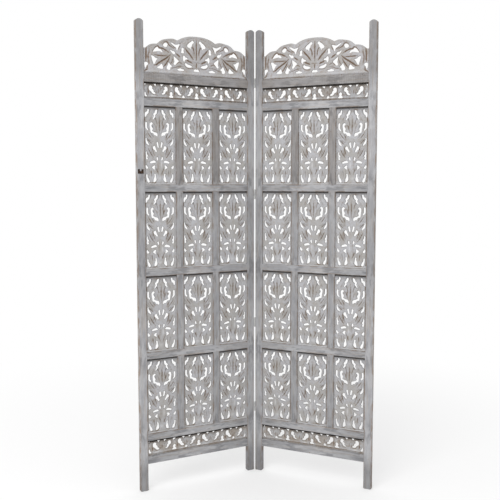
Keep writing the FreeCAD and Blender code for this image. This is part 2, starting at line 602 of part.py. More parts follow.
half_inner = value("inner_width") / 2
unit_size = (value("frieze_unit"), value("frieze_opening"))
frieze_cells = []
frieze_notches = []
for i in range(FRIEZE_UNITS + 1):
    bell = half_inner + (FRIEZE_UNITS / 2 - i) * value("frieze_unit")
    shares, notches = [], []
    if 0 < i < FRIEZE_UNITS:
        shares.append(BELL_GAP_SHARES)
        notches.append(BELL_NOTCH_SHARES)
    if i < FRIEZE_UNITS:
        shares += list(CUP_SHARES.values())
        notches += list(TOP_NOTCH_SHARES.values())
    if i % 2 and i < FRIEZE_UNITS:
        shares.append(FOOT_HOLE_SHARES)
    frieze_cells += [(points, *unit_size, bell, -1) for points in shares]
    frieze_notches += [(points, *unit_size, bell, -1) for points in notches]
for side in (-1, 1):
    edge = half_inner - side * half_inner
    frieze_cells.append((END_SLIT_SHARES, *unit_size, edge, side))
    frieze_notches.append((END_NOTCH_SHARES, *unit_size, edge, side))


def notch(name, shares, width, height, middle, side):
    """A straight-sided cutter for a notch in a field's top edge."""
    corners = [(middle + side * x * width, z * height) for x, z in shares]
    edges = [line(corners[i], corners[(i + 1) % len(corners)]) for i in range(len(corners))]
    solid = Part.Face(Part.Wire(edges)).extrude(
        FreeCAD.Vector(0, value("carving_thickness") + 2 * value("overrun"), 0))
    solid.translate(FreeCAD.Vector(0, -value("overrun"), 0))
    thing = doc.addObject("Part::Feature", name)
    thing.Shape = solid
    return thing


frieze_field = pierced_board("frieze_field", value("inner_width"), value("frieze_opening"),
                             value("edge_gap"), value("frieze_foot_gap"), value("frieze_top_gap"),
                             frieze_cells)
notched_field = cut("notched_field", frieze_field,
                    [notch(f"frieze_notch_{i}", *cell) for i, cell in enumerate(frieze_notches, 1)])
frieze = fuse("frieze_pattern", [notched_field, tongue_ring("frieze_tongue", "inner_width",
                                                            "frieze_opening", "frieze_foot_gap",
                                                            "frieze_top_gap")])
for name, level in (("upper", "high_frieze_level"), ("lower", "low_frieze_level")):
    both_nodes(f"{name}_frieze", [copy_at(f"{name}_frieze_copy", frieze, "stile_width", "0", level)])

# Crest. Five lobes along its top edge, and a tongue in the crest rail and in both stiles.


def crest_outline():
    """The lobes, the ends that meet the stiles, and the straight foot."""
    rise = value("crest_rise")
    gap, foot = value("edge_gap"), value("crest_foot_gap")
    front = -value("carving_thickness") / 2
    end_x, end_z = CREST_LOBE_SHARES[-1][-1]
    edges = []
    for side in (1, -1):
        for lobe_shares in CREST_LOBE_SHARES:
            curve = Part.BSplineCurve()
            curve.interpolate([FreeCAD.Vector(half_inner + side * x * half_inner, front, z * rise)
                               for x, z in lobe_shares])
            edges.append(curve.toShape())
        lobe_end = (half_inner + side * end_x * half_inner, end_z * rise)
        shoulder = (half_inner + side * (half_inner - gap), end_z * rise)
        corner = (shoulder[0], foot)
        edges += [line(lobe_end, shoulder), line(shoulder, corner)]
    edges.append(line((gap, foot), (value("inner_width") - gap, foot)))
    return edges


crest_cells = [(shares, half_inner, value("crest_rise"), half_inner, side)
               for shares in CREST_SHARES.values() for side in (-1, 1)]
crest_cells.append((CREST_MIDDLE_SHARES, half_inner, value("crest_rise"), half_inner, 1))
crest_foot = tongue("crest_foot_tongue", "0 - tongue_reach", "0 - tongue_reach",
                    "inner_width + 2 * tongue_reach", "tongue_reach + crest_foot_gap")
crest_sides = [tongue(f"crest_{name}_tongue", across, "crest_foot_gap", "tongue_reach + edge_gap",
                      "crest_end_rise - edge_gap - crest_foot_gap")
               for name, across in (("near", "0 - tongue_reach"), ("far", "inner_width - edge_gap"))]
crest = fuse("crest_pattern", [pierced("crest_field", crest_outline(), crest_cells), crest_foot]
             + crest_sides)
both_nodes("carved_crest", [copy_at("crest_copy", crest, "stile_width", "0", "crest_level")])

# Hinges. Each is a pair of plates let in flush and screwed to the facing edges of the hinged
# stiles, knuckled round a pin. The right plate has the middle knuckle, the left plate the outer two.


def plate(name, own_knuckles):
    blank = block(f"{name}_blank", "hinge_plate_thickness", "hinge_plate_width", "hinge_height",
                  "0", "axis_deep")
    clear, solid = [], []
    for i in range(KNUCKLES):
        up = f"{i} * knuckle_step"
        if i in own_knuckles:
            solid.append(rod(f"{name}_knuckle_{i + 1}", "barrel_radius", "knuckle_height",
                             "axis_across", "axis_deep", up))
        else:
            clear.append(rod(f"{name}_clearance_{i + 1}", "clear_radius",
                             "knuckle_height + 2 * knuckle_gap", "axis_across", "axis_deep",
                             f"{up} - knuckle_gap"))
    relieved = cut(f"{name}_relieved", blank, clear)
    holes = [rod(f"{name}_bore", "bore_radius", "hinge_height + 2 * overrun", "axis_across",
                 "axis_deep", "0 - overrun")]
    for i in range(SCREWS_PER_PLATE):
        step = i - (SCREWS_PER_PLATE - 1) / 2
        up = f"hinge_height / 2 + {step} * screw_spacing"
        holes.append(rod(f"{name}_screw_hole_{i + 1}", "pilot_radius",
                         "hinge_plate_thickness + 2 * overrun", "0 - overrun", "screw_deep", up,
                         along_across))
        holes.append(countersink(f"{name}_countersink_{i + 1}", "screw_head_radius + screw_clearance",
                                 "pilot_radius", up))
    return cut(name, fuse(f"{name}_uncut", [relieved] + solid), holes)


def countersink(name, wide, narrow, up):
    thing = doc.addObject("Part::Cone", name)
    bind(thing, {"Radius1": wide, "Radius2": narrow, "Height": "screw_head_depth"})
    thing.Placement = FreeCAD.Placement(FreeCAD.Vector(), along_across)
    return place(thing, "0", "screw_deep", up)


right_plate = plate("right_plate_pattern", (1,))
left_plate = plate("left_plate_pattern", (0, 2))

screw_head = countersink("screw_head", "screw_head_radius", "screw_radius", "0")
screw_shank = rod("screw_shank", "screw_radius", "screw_length - screw_head_depth",
                  "screw_head_depth", "screw_deep", "0", along_across)
screw_slot = block("screw_slot", "slot_depth + overrun", "2 * screw_head_radius + overrun",
                   "slot_width", "0 - overrun", "screw_deep - screw_head_radius - overrun / 2",
                   "0 - slot_width / 2")
screw = cut("screw_pattern", fuse("screw_uncut", [screw_head, screw_shank]), [screw_slot])

pin_rod = rod("pin_rod", "pin_radius", "hinge_height + 2 * pin_head_height", "0", "0",
              "0 - pin_head_height")
pin_foot = rod("pin_foot", "pin_head_radius", "pin_head_height", "0", "0", "0 - pin_head_height")
pin_top = rod("pin_top", "pin_head_radius", "pin_head_height", "0", "0", "hinge_height")
pin = fuse("pin_pattern", [pin_rod, pin_foot, pin_top])

all_screws = []
for hinge in HINGES:
    level = f"hinge_{hinge}_level - hinge_height / 2"
    right_node(f"hinge_{hinge}_right_plate",
               [copy_at(f"hinge_{hinge}_right_copy", right_plate, "0", "0", level)])
    left_node(f"hinge_{hinge}_left_plate",
              [copy_at(f"hinge_{hinge}_left_copy", left_plate, "0", "0", level)])
    name = f"hinge_{hinge}_pin"
    nodes[name] = place(group(name, [copy_at(f"{name}_copy", pin)]), "0", "hinge_back", level)
    for i in range(SCREWS_PER_PLATE):
        step = i - (SCREWS_PER_PLATE - 1) / 2
        all_screws.append(copy_at(f"hinge_{hinge}_screw_{i + 1}", screw, "0", "0",
                                  f"hinge_{hinge}_level + {step} * screw_spacing"))
both_nodes("hinge_screws", all_screws)

# Catch plate. A small notched plate on the front of the left leaf's free stile, with two screws.

catch_blank = block("catch_blank", "catch_width", "catch_thickness", "catch_height", "catch_left",
                    "0 - half_thickness - catch_thickness", "catch_foot")
catch_holes = [block("catch_notch", "catch_notch_width", "catch_thickness + 2 * overrun",
                     "catch_notch_depth + overrun",
                     "catch_left + (catch_width - catch_notch_width) / 2",
                     "0 - half_thickness - catch_thickness - overrun",
                     "catch_foot + catch_height - catch_notch_depth")]
catch_screws = []
for across, name in catch_spots:
    up = "catch_foot + catch_screw_inset"
    catch_holes.append(rod(f"catch_hole_{name}", "catch_screw_radius + screw_clearance",
                           "catch_thickness + 2 * overrun", across,
                           "0 - half_thickness - catch_thickness - overrun", up, along_deep))
    head = rod(f"catch_head_{name}", "catch_head_radius", "catch_head_height", across,
               "0 - half_thickness - catch_thickness - catch_head_height", up, along_deep)
    shank = rod(f"catch_shank_{name}", "catch_screw_radius", "catch_screw_length", across,
                "0 - half_thickness - catch_thickness", up, along_deep)
    slot = block(f"catch_slot_{name}", "2 * catch_head_radius + overrun", "slot_depth + overrun",
                 "slot_width", f"{across} - catch_head_radius - overrun / 2",
                 "0 - half_thickness - catch_thickness - catch_head_height - overrun",
                 f"{up} - slot_width / 2")
    catch_screws.append(cut(f"catch_screw_{name}", fuse(f"catch_uncut_{name}", [head, shank]), [slot]))
left_node("catch_plate", [cut("catch_pattern", catch_blank, catch_holes)])
left_node("catch_screws", catch_screws)

doc.recompute()
for thing in doc.Objects:
    bad = [state for state in thing.State if state in ("Invalid", "Error")]
    if bad:
        raise RuntimeError(f"{thing.Name} is {bad}")

os.makedirs("parts", exist_ok=True)
for name, node in nodes.items():
    node.Label = name
    shape = node.Shape
    if shape.isNull() or not shape.isValid() or not shape.Solids:
        raise RuntimeError(f"{name} has no valid solid")
    shape.exportStep(f"parts/{name}.step")
print(len(nodes), "nodes written")
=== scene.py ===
"""The looks of a carved folding screen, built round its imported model.

The real thing is cut from a light hardwood such as mango, mortised and tenoned, carved by hand,
then brushed with a thin grey-white wash that is rubbed back and left brown in the grooves.
Lengths are in metres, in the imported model's own frame.
"""

import json
import math

import bpy
import numpy as np
from mathutils import Matrix, Vector, geometry, noise


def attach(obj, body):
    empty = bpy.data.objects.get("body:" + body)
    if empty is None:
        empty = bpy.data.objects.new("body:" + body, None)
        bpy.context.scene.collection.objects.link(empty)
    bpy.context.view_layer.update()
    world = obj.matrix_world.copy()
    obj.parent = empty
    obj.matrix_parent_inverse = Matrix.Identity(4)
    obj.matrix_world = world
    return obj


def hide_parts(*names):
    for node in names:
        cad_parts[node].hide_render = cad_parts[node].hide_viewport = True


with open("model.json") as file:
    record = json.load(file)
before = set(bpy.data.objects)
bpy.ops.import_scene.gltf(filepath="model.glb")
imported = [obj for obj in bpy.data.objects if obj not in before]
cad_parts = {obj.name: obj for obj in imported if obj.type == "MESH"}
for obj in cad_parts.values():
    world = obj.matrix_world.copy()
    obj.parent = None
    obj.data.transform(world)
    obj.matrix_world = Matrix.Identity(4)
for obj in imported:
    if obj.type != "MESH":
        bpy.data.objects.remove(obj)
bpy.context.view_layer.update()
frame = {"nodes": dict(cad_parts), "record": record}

# The two leaves. Each is a flat mortised frame, and they are hinged along their inner stiles and
# stand in a V that opens towards the front. A leaf is worked on flat: across from its hinged
# edge, deep from the front to the back, up from the floor. The left one is a mirror image.

MM = 0.001
frame_thickness = 18 * MM
leaf_gap = 2 * MM
pivot_proud = 2.2 * MM
fold_angle = math.radians(26.9)
hinge_axis = Vector(frame["record"]["behaviour"]["joints"][0]["pos_m"])

axis_deep = -frame_thickness / 2 - pivot_proud
leaf_place = Vector((leaf_gap / 2 * math.cos(fold_angle) - axis_deep * math.sin(fold_angle),
                     hinge_axis.y - leaf_gap / 2 * math.sin(fold_angle)
                     - axis_deep * math.cos(fold_angle), 0))
stand_right = Matrix.Translation(leaf_place) @ Matrix.Rotation(-fold_angle, 4, "Z")
stand_left = Matrix.Scale(-1, 4, (1, 0, 0)) @ stand_right
LEAVES = {"left": stand_left, "right": stand_right}

# The frame's boards: stiles, rails and muntins. Planed hardwood, brushed along the grain with a
# thin grey-white wash, so that the grain shows as bluish and brownish streaks, and rubbed back to
# brown at a few knocks and along the edges. Saw marks still show on the crest rails.

leaf_height = 1829 * MM
leaf_width = 508 * MM
stile_width = 32 * MM
muntin_width = 28.5 * MM
opening_width = 129 * MM
row_opening = 298.6 * MM
rail_height = 28 * MM
first_row_level = 228.5 * MM
saw_mark_spacing = 7 * MM
ROWS = 4
COLUMNS = 3

column_edges = [0.0, leaf_width]
for column in range(COLUMNS):
    near = stile_width + column * (opening_width + muntin_width)
    column_edges += [near, near + opening_width]
rail_edges = []
for row in range(ROWS):
    foot = first_row_level + row * (row_opening + rail_height)
    rail_edges += [foot, foot + row_opening]


def linear(code):
    """An sRGB hex colour as the linear colour that a shader takes."""
    parts = [int(code[i:i + 2], 16) / 255 for i in (1, 3, 5)]
    return [c / 12.92 if c <= 0.04045 else ((c + 0.055) / 1.055) ** 2.4 for c in parts] + [1]


def add(tree, kind, inputs=None, **settings):
    """Adds a node, with its settings, and its inputs as values or as links."""
    node = tree.nodes.new(kind)
    for name, amount in settings.items():
        setattr(node, name, amount)
    for name, source in (inputs or {}).items():
        if isinstance(source, bpy.types.NodeSocket):
            tree.links.new(source, node.inputs[name])
        else:
            node.inputs[name].default_value = source
    return node


def streaks(tree, place, along, across, axis=0, detail=3.0, shift=0.0):
    """Noise drawn out along one axis, from a streak's length and its width."""
    scale = [1 / across] * 3
    scale[axis] = 1 / along
    stretched = add(tree, "ShaderNodeMapping", {"Vector": place, "Location": (shift, shift, shift),
                                                "Scale": scale})
    return add(tree, "ShaderNodeTexNoise", {
        "Vector": stretched.outputs["Vector"], "Scale": 1.0, "Detail": detail,
        "Roughness": 0.55}).outputs["Fac"]


def between(tree, amount, low, high):
    """0 up to low, 1 from high, smooth between them."""
    return add(tree, "ShaderNodeMapRange", {
        "Value": amount, "From Min": low, "From Max": high, "To Min": 0.0, "To Max": 1.0},
        interpolation_type="SMOOTHSTEP").outputs["Result"]


def blend_colour(tree, amount, under, over, kind="MIX"):
    """Lays one colour over another. A colour is a hex code or comes from another node."""
    under, over = (linear(each) if isinstance(each, str) else each for each in (under, over))
    return add(tree, "ShaderNodeMix", {0: amount, 6: under, 7: over}, data_type="RGBA",
               blend_type=kind).outputs[2]


def combine(tree, a, b, how="MULTIPLY"):
    """Two amounts multiplied, or put together in another way."""
    return add(tree, "ShaderNodeMath", {0: a, 1: b}, operation=how).outputs[0]


def wash_layers(tree, place, axis, colour, layers):
    """Lays streaked layers over a colour, and gives their streaks for the fine relief too.

    A layer is its streaks' length and width in millimetres, their detail and shift, where it
    starts to show and where it is full, its strength and its colour.
    """
    found = []
    for long, wide, detail, shift, low, high, strength, code in layers:
        found.append(streaks(tree, place, long * MM, wide * MM, axis, detail, shift))
        amount = combine(tree, between(tree, found[-1], low, high), strength)
        colour = blend_colour(tree, amount, colour, code)
    return colour, found


def new_material(name):
    material = bpy.data.materials.new(name)
    material.use_nodes = True
    tree = material.node_tree
    shader = tree.nodes["Principled BSDF"]
    return material, tree, shader


def finish(tree, shader, colour, roughness, height, strength, distance):
    """Gives a shader its colour, its gloss and a relief finer than the mesh."""
    tree.links.new(colour, shader.inputs["Base Color"])
    shader.inputs["Roughness"].default_value = roughness
    bump = add(tree, "ShaderNodeBump", {"Height": height, "Strength": strength,
                                        "Distance": distance})
    tree.links.new(bump.outputs["Normal"], shader.inputs["Normal"])


def leaf_coordinates(tree, side):
    """A point's place in its own leaf: across from the hinged edge, deep and up."""
    place = add(tree, "ShaderNodeTexCoord").outputs["Object"]
    if side == "left":
        place = add(tree, "ShaderNodeVectorMath", {0: place, 1: (-1.0, 1.0, 1.0)},
                    operation="MULTIPLY").outputs["Vector"]
    back = stand_right.inverted()
    return add(tree, "ShaderNodeMapping", {"Vector": place, "Rotation": back.to_euler(),
                                           "Location": back.translation}).outputs["Vector"]


def near_any(tree, amount, places, reach):
    """1 at any of the places, falling to 0 within a reach of it."""
    nearest = 1.0
    for place in places:
        gap = combine(tree, combine(tree, amount, place, "SUBTRACT"), 0.0, "ABSOLUTE")
        nearest = combine(tree, nearest, gap, "MINIMUM")
    return between(tree, nearest, reach, 0.0)


def tone(tree, amount, stops):
    """A brightness that follows an amount through stops: place, level and how much warmer."""
    ramp = add(tree, "ShaderNodeValToRGB", {"Fac": amount})
    marks = ramp.color_ramp.elements
    while len(marks) < len(stops):
        marks.new(0.5)
    for mark, (where, level, warmer) in zip(marks, stops):
        mark.position = where
        mark.color = (level * (1 + warmer), level, level * (1 - warmer), 1)
    return ramp.outputs["Color"]


BOARD_LAYERS = (
    # clouds of thinner wash
    (90, 26, 3.0, 0.0, 0.38, 0.62, 1.0, "#98989B"),
    # warm wood along the grain
    (130, 6, 4.0, 2.3, 0.50, 0.66, 0.45, "#9B9085"),
    # dark pores
    (45, 1.5, 4.0, 3.1, 0.50, 0.72, 0.45, "#7B7B7E"),
    # thicker wash where the brush ran
    (70, 3.5, 3.0, 11.9, 0.54, 0.68, 0.4, "#BABABB"),
)
joint_reach = 70 * MM
joint_share = 0.55
dirt_strength = 0.42
rubbed_reach = 4.5 * MM
rubbed_strength = 0.75
saw_marks_from, saw_marks_full = 0.25, 0.75


def washed_board(name, side, axis, edges, ends, by_width, by_height, sawn=0.0):
    """Grey-white wash on planed wood: matt, streaked along the grain, brown where it is rubbed.

    The grain runs along the axis, 0 across the leaf or 2 up it. The board darkens towards its
    ends and is rubbed along its edges.
    """
    material, tree, shader = new_material(name)
    place = leaf_coordinates(tree, side)
    parts = add(tree, "ShaderNodeSeparateXYZ", {"Vector": place}).outputs
    length, width = (parts["X"], parts["Z"]) if axis == 0 else (parts["Z"], parts["X"])
    colour, found = wash_layers(tree, place, axis, "#A4A4A6", BOARD_LAYERS)
    smudges = streaks(tree, place, 38 * MM, 11 * MM, axis, 4.0, 5.3)
    knocks = streaks(tree, place, 12 * MM, 5 * MM, axis, 2.0, 9.1)
    by_joint = combine(tree, near_any(tree, length, ends, joint_reach), joint_share, "ADD")
    darkening = combine(tree, between(tree, smudges, 0.44, 0.62), by_joint)
    colour = blend_colour(tree, combine(tree, darkening, dirt_strength), colour, "#6C6C6F")
    by_edge = near_any(tree, width, edges, rubbed_reach)
    rubbed = combine(tree, by_edge, between(tree, smudges, 0.40, 0.60))
    rubbed = combine(tree, rubbed, between(tree, knocks, 0.69, 0.77), "MAXIMUM")
    colour = blend_colour(tree, combine(tree, rubbed, rubbed_strength), colour, "#83705F")
    if sawn:
        marks = add(tree, "ShaderNodeTexWave", {
            "Vector": place, "Scale": math.pi / 10 / saw_mark_spacing, "Distortion": 1.6,
            "Detail": 2.0, "Detail Scale": 0.6}).outputs["Fac"]
        where = between(tree, combine(tree, parts["X"], 1 / leaf_width), saw_marks_from,
                        saw_marks_full)
        colour = blend_colour(tree, combine(tree, combine(tree, marks, where), sawn), colour,
                              "#6F665C")
    # Brightness across the leaf and up it, from the tone stops. Across the leaf it holds painted
    # shade towards the hinged edge.
    for amount, span, stops in ((parts["X"], leaf_width, by_width),
                                (parts["Z"], leaf_height, by_height)):
        level = tone(tree, combine(tree, amount, 1 / span), stops)
        colour = blend_colour(tree, 1.0, colour, level, "MULTIPLY")
    shader.inputs["Specular IOR Level"].default_value = 0.3
    _, grain, pores, _ = found
    finish(tree, shader, colour, 0.72, combine(tree, pores, grain, "ADD"), 0.3, 0.5 * MM)
    return material


def paint(nodes, material):
    for name in nodes:
        for slot in frame["nodes"][name].material_slots:
            slot.material = material


# How bright and how warm boards are at shares of their leaf's width, from the hinged edge, and of
# its height. The darkening towards the hinged edge is painted shade in the fold between the leaves.
STILE_ACROSS = ((0.10, 0.90, 0.0), (0.90, 1.00, 0.0))
STILE_TONES = ((0.04, 0.75, 0.0), (0.08, 1.12, 0.0), (0.35, 1.11, 0.0), (0.45, 0.92, 0.0),
               (0.62, 0.91, 0.0), (0.74, 1.12, 0.0), (0.86, 1.10, 0.0), (0.90, 0.79, 0.01))
MUNTIN_TONES = ((0.28, 0.93, 0.0), (0.31, 0.98, 0.0), (0.46, 0.98, 0.0), (0.50, 0.95, 0.0),
                (0.63, 0.95, 0.0), (0.67, 0.74, 0.04))
RAIL_ACROSS = ((0.08, 0.90, 0.0), (0.22, 0.92, 0.0), (0.42, 1.10, 0.0), (0.60, 1.10, 0.0),
               (0.76, 0.93, 0.0), (0.92, 0.91, 0.0))
RAIL_TONES = ((0.86, 1.00, 0.0), (0.88, 0.85, 0.02))
CREST_RAIL_ACROSS = ((0.06, 0.70, 0.05), (0.13, 0.78, 0.04), (0.19, 0.95, 0.01),
                     (0.60, 0.96, 0.01), (0.80, 0.98, 0.01), (0.90, 0.95, 0.02))
RAIL_NAMES = ("frieze_rail", "upper_rail", "middle_rail", "lower_rail", "sill_rail", "bottom_rail")
for side in LEAVES:
    stile = washed_board(f"washed_stile_{side}", side, 2, column_edges, rail_edges,
                         STILE_ACROSS, STILE_TONES)
    muntin = washed_board(f"washed_muntin_{side}", side, 2, column_edges, rail_edges,
                          STILE_ACROSS, MUNTIN_TONES)
    rail = washed_board(f"washed_rail_{side}", side, 0, rail_edges, column_edges,
                        RAIL_ACROSS, RAIL_TONES)
    crest_rail = washed_board(f"washed_crest_rail_{side}", side, 0, rail_edges, column_edges,
                              CREST_RAIL_ACROSS, RAIL_TONES, sawn=0.3)
    paint([f"{side}_free_stile", f"{side}_hinged_stile"], stile)
    paint([f"{side}_leaf_crest_rail"], crest_rail)
    paint([f"{side}_muntins_row_{row}" for row in range(1, ROWS + 1)], muntin)
    paint([f"{side}_leaf_{name}" for name in RAIL_NAMES], rail)

# The carved inserts: three in each of four rows. Each is a board of the same wood, sawn through
# at the openings, carved in relief on both faces with gouges, and slid into the frame's grooves by
# a thin tongue. The wash lies on the high places, and the cuts, which the brush missed, stay brown.

carving_thickness = 9 * MM
tongue_thickness = 4 * MM
tongue_reach = 5.5 * MM
# Side tongues stop this much short, so that no two tongues share an edge.
hair = 0.1 * MM
edge_gap = 0.5 * MM
insert_top_gap = 5.5 * MM
carving_step = 1.9 * MM
curve_step = carving_step * 0.8
back_step = 3.2 * MM
back_share = 0.6
back_roll = 1.8 * MM
crease_angle = math.radians(48)
# Brown stain; grime and painted shade; paler wash and painted highlight.
WEAR_AND_SHADE_KINDS = ("brown", "shade_and_grime", "pale")
# Stands in for zero where something is divided by a length.
NO_LENGTH = 1e-12

# The right half of each opening, and any that lies across the middle: places in thousandths, of
# half the insert's width from its middle, and of its height from its foot.
INSERT_SHARES = {
    "top_inner_slit": ((129, 952), (217, 956), (284, 938), (307, 921), (401, 900), (363, 877),
        (432, 842), (385, 831), (308, 852), (244, 866), (252, 889), (160, 909)),
    "top_outer_slit": ((646, 955), (746, 960), (780, 932), (880, 922), (921, 904), (911, 865),
        (827, 866), (778, 892), (684, 909)),
    "wreath_gap": ((411, 779), (492, 797), (612, 781), (630, 757), (606, 717), (573, 672),
        (514, 661), (422, 658), (329, 631), (234, 628), (140, 613), (109, 636), (159, 662),
        (348, 675), (451, 691), (411, 717), (488, 750), (467, 766)),
    "upper_side_slit": ((776, 792), (880, 792), (900, 753), (875, 717), (737, 691), (702, 703),
        (765, 727), (772, 760)),
    "middle_side_slit": ((806, 601), (891, 582), (866, 532), (777, 511), (647, 496), (689, 525),
        (759, 549), (819, 574)),
    "fan_inner_slit": ((101, 546), (201, 537), (180, 507), (125, 475), (48, 478), (68, 513)),
    "fan_outer_slit": ((321, 497), (433, 483), (433, 457), (323, 439), (245, 417), (162, 427),
        (232, 460), (271, 483)),
    "lower_side_slit": ((814, 428), (892, 409), (876, 368), (863, 322), (745, 327), (781, 351),
        (735, 368), (806, 392)),
    "seed_hole": ((125, 355), (218, 341), (156, 310), (88, 314), (103, 338)),
    "wing_slit": ((235, 285), (304, 306), (405, 307), (609, 291), (598, 272), (432, 276)),
    "heart_hole": ((299, 244), (383, 244), (502, 219), (408, 201), (303, 191), (318, 217)),
    "side_heart_hole": ((861, 255), (907, 227), (832, 199), (725, 216), (806, 237)),
    "foot_inner_slit": ((275, 137), (356, 134), (345, 105), (407, 69), (416, 31), (324, 32),
        (213, 57), (235, 99)),
    "foot_outer_slit": ((797, 130), (876, 123), (855, 73), (777, 28), (644, 31), (673, 63),
        (765, 92)),
}

# Gouge cuts of the right half: width and depth in millimetres, how brown it is left, and its
# line in the same thousandths.
INSERT_GROOVES = (
    # centre vein
    (4.8, 1.3, 0.55, ((0, 877), (0, 787), (0, 687), (0, 630))),
    # bud veins
    (3.4, 1.3, 0.65, ((279, 854), (217, 820), (171, 787), (155, 760))),
    (2.6, 0.9, 0.5, ((217, 757), (217, 730), (202, 700))),
    (2.2, 0.7, 0.45, ((350, 790), (270, 745), (170, 690), (80, 648))),
    # hood edge, and its leaf
    (3.0, 1.2, 0.35, ((47, 954), (124, 911), (202, 894))),
    (2.8, 1.1, 0.35, ((558, 958), (636, 921), (744, 891))),
    (2.4, 0.8, 0.25, ((326, 951), (388, 924))),
    # shoulder vein and stroke
    (2.6, 0.9, 0.55, ((496, 881), (589, 837), (651, 800))),
    (2.2, 0.7, 0.45, ((420, 905), (500, 850), (560, 800))),
    # corner leaf vein
    (2.6, 0.9, 0.2, ((775, 861), (899, 844))),
    # shoulder edge
    (2.8, 1.0, 0.2, ((651, 780), (667, 737), (682, 690))),
    # upper side leaf
    (3.2, 1.4, 0.8, ((791, 673), (682, 636), (589, 610), (496, 589))),
    (3.0, 1.2, 0.6, ((558, 660), (465, 630), (403, 603))),
    # strokes round the side leaves
    (2.2, 0.7, 0.5, ((880, 655), (790, 625), (690, 590))),
    (2.2, 0.7, 0.45, ((640, 575), (540, 552), (430, 545))),
    (2.2, 0.7, 0.5, ((840, 430), (740, 380), (630, 345))),
    (2.2, 0.7, 0.4, ((600, 460), (520, 410), (450, 370))),
    # side bud
    (3.4, 1.5, 0.8, ((775, 579), (682, 556), (589, 536), (512, 522))),
    (2.6, 0.9, 0.15, ((667, 489), (806, 512), (899, 532))),
    # fan edge
    (3.0, 1.2, 0.6, ((512, 489), (481, 459), (419, 419), (341, 365))),
    # lower side leaf vein
    (3.4, 1.5, 0.9, ((744, 462), (651, 425), (574, 392), (403, 345))),
    # wing shading
    (2.8, 0.9, 0.2, ((279, 268), (434, 265), (589, 261))),
    # foot leaf
    (3.0, 1.1, 0.5, ((574, 181), (543, 144), (527, 90))),
    (2.2, 0.7, 0.45, ((420, 200), (390, 155), (410, 105))),
    (2.2, 0.7, 0.4, ((690, 200), (680, 155), (640, 110))),
    # tongue edge
    (3.0, 1.2, 0.6, ((248, 214), (202, 184), (140, 157), (93, 124))),
    # foot sweeps
    (2.8, 1.0, 0.5, ((155, 70), (248, 40), (372, 20), (465, 23))),
    (2.6, 0.9, 0.2, ((620, 27), (729, 20), (853, 40), (915, 80))),
    # rim groove
    (2.2, 0.8, 0.35, ((938, 60), (946, 201), (946, 402), (946, 603), (946, 804))),
)


def curve_points(points, step, closed):
    """Points every so often along a smooth (Catmull-Rom) curve through the given ones."""
    count = len(points)
    last = count if closed else count - 1
    found = []
    for i in range(last):
        if closed:
            a, b, c, d = (points[(i + k) % count] for k in (-1, 0, 1, 2))
        else:
            b, c = points[i], points[i + 1]
            a = points[i - 1] if i else 2 * b - c
            d = points[i + 2] if i + 2 < count else 2 * c - b
        parts = max(2, round(float(np.linalg.norm(c - b)) / step))
        for t in np.arange(parts) / parts:
            found.append(0.5 * (2 * b + (c - a) * t + (2 * a - 5 * b + 4 * c - d) * t ** 2
                                + (3 * b - a - 3 * c + d) * t ** 3))
    if not closed:
        found.append(points[-1])
    return np.array(found)


def smooth_line(points):
    return curve_points(points, carving_step, False)


def smooth_loop(points):
    return curve_points(points, curve_step, True)


def straight_points(corners, closed=True):
    """Points every so often along straight sides. An open run stops before its last corner."""
    corners = [np.array(corner) for corner in corners]
    found = []
    for i in range(len(corners) if closed else len(corners) - 1):
        start, end = corners[i], corners[(i + 1) % len(corners)]
        parts = max(1, round(float(np.linalg.norm(end - start)) / carving_step))
        found += [start + (end - start) * k / parts for k in range(parts)]
    return np.array(found)


def inside(points, loop):
    """Which points lie inside a closed loop."""
    ends = np.roll(loop, -1, 0)
    across, up = points[:, :1], points[:, 1:]
    spans = (loop[:, 1] > up) != (ends[:, 1] > up)
    rise = np.where(ends[:, 1] == loop[:, 1], NO_LENGTH, ends[:, 1] - loop[:, 1])
    meets = loop[:, 0] + (ends[:, 0] - loop[:, 0]) * (up - loop[:, 1]) / rise
    return (spans & (across < meets)).sum(1) % 2 == 1


def within(points, rims):
    """Which points lie inside the outline, the first of the rims, and in none of the openings."""
    keep = inside(points, rims[0])
    for loop in rims[1:]:
        keep &= ~inside(points, loop)
    return keep


def distance(points, starts, ends):
    """How far each point is from the nearest of some straight pieces, and which one that is."""
    # Worked out in batches, to spare memory.
    at_a_time, no_square = 1500, 1e-14
    found = np.empty(len(points))
    nearest = np.empty(len(points), int)
    runs = ends - starts
    squares = np.maximum((runs ** 2).sum(1), no_square)
    for first in range(0, len(points), at_a_time):
        part = points[first:first + at_a_time, None, :]
        share = np.clip(((part - starts) * runs).sum(2) / squares, 0, 1)
        gaps = np.linalg.norm(part - (starts + share[..., None] * runs), axis=2)
        nearest[first:first + at_a_time] = gaps.argmin(1)
        found[first:first + at_a_time] = gaps.min(1)
    return found, nearest


def loop_pieces(loops):
    starts = np.vstack(loops)
    ends = np.vstack([np.roll(loop, -1, 0) for loop in loops])
    return starts, ends


def turned(loop, wanted):
    """The loop running anticlockwise for wanted 1 and clockwise for -1."""
    ends = np.roll(loop, -1, 0)
    area = (loop[:, 0] * ends[:, 1] - ends[:, 0] * loop[:, 1]).sum()
    return loop if area * wanted > 0 else loop[::-1]


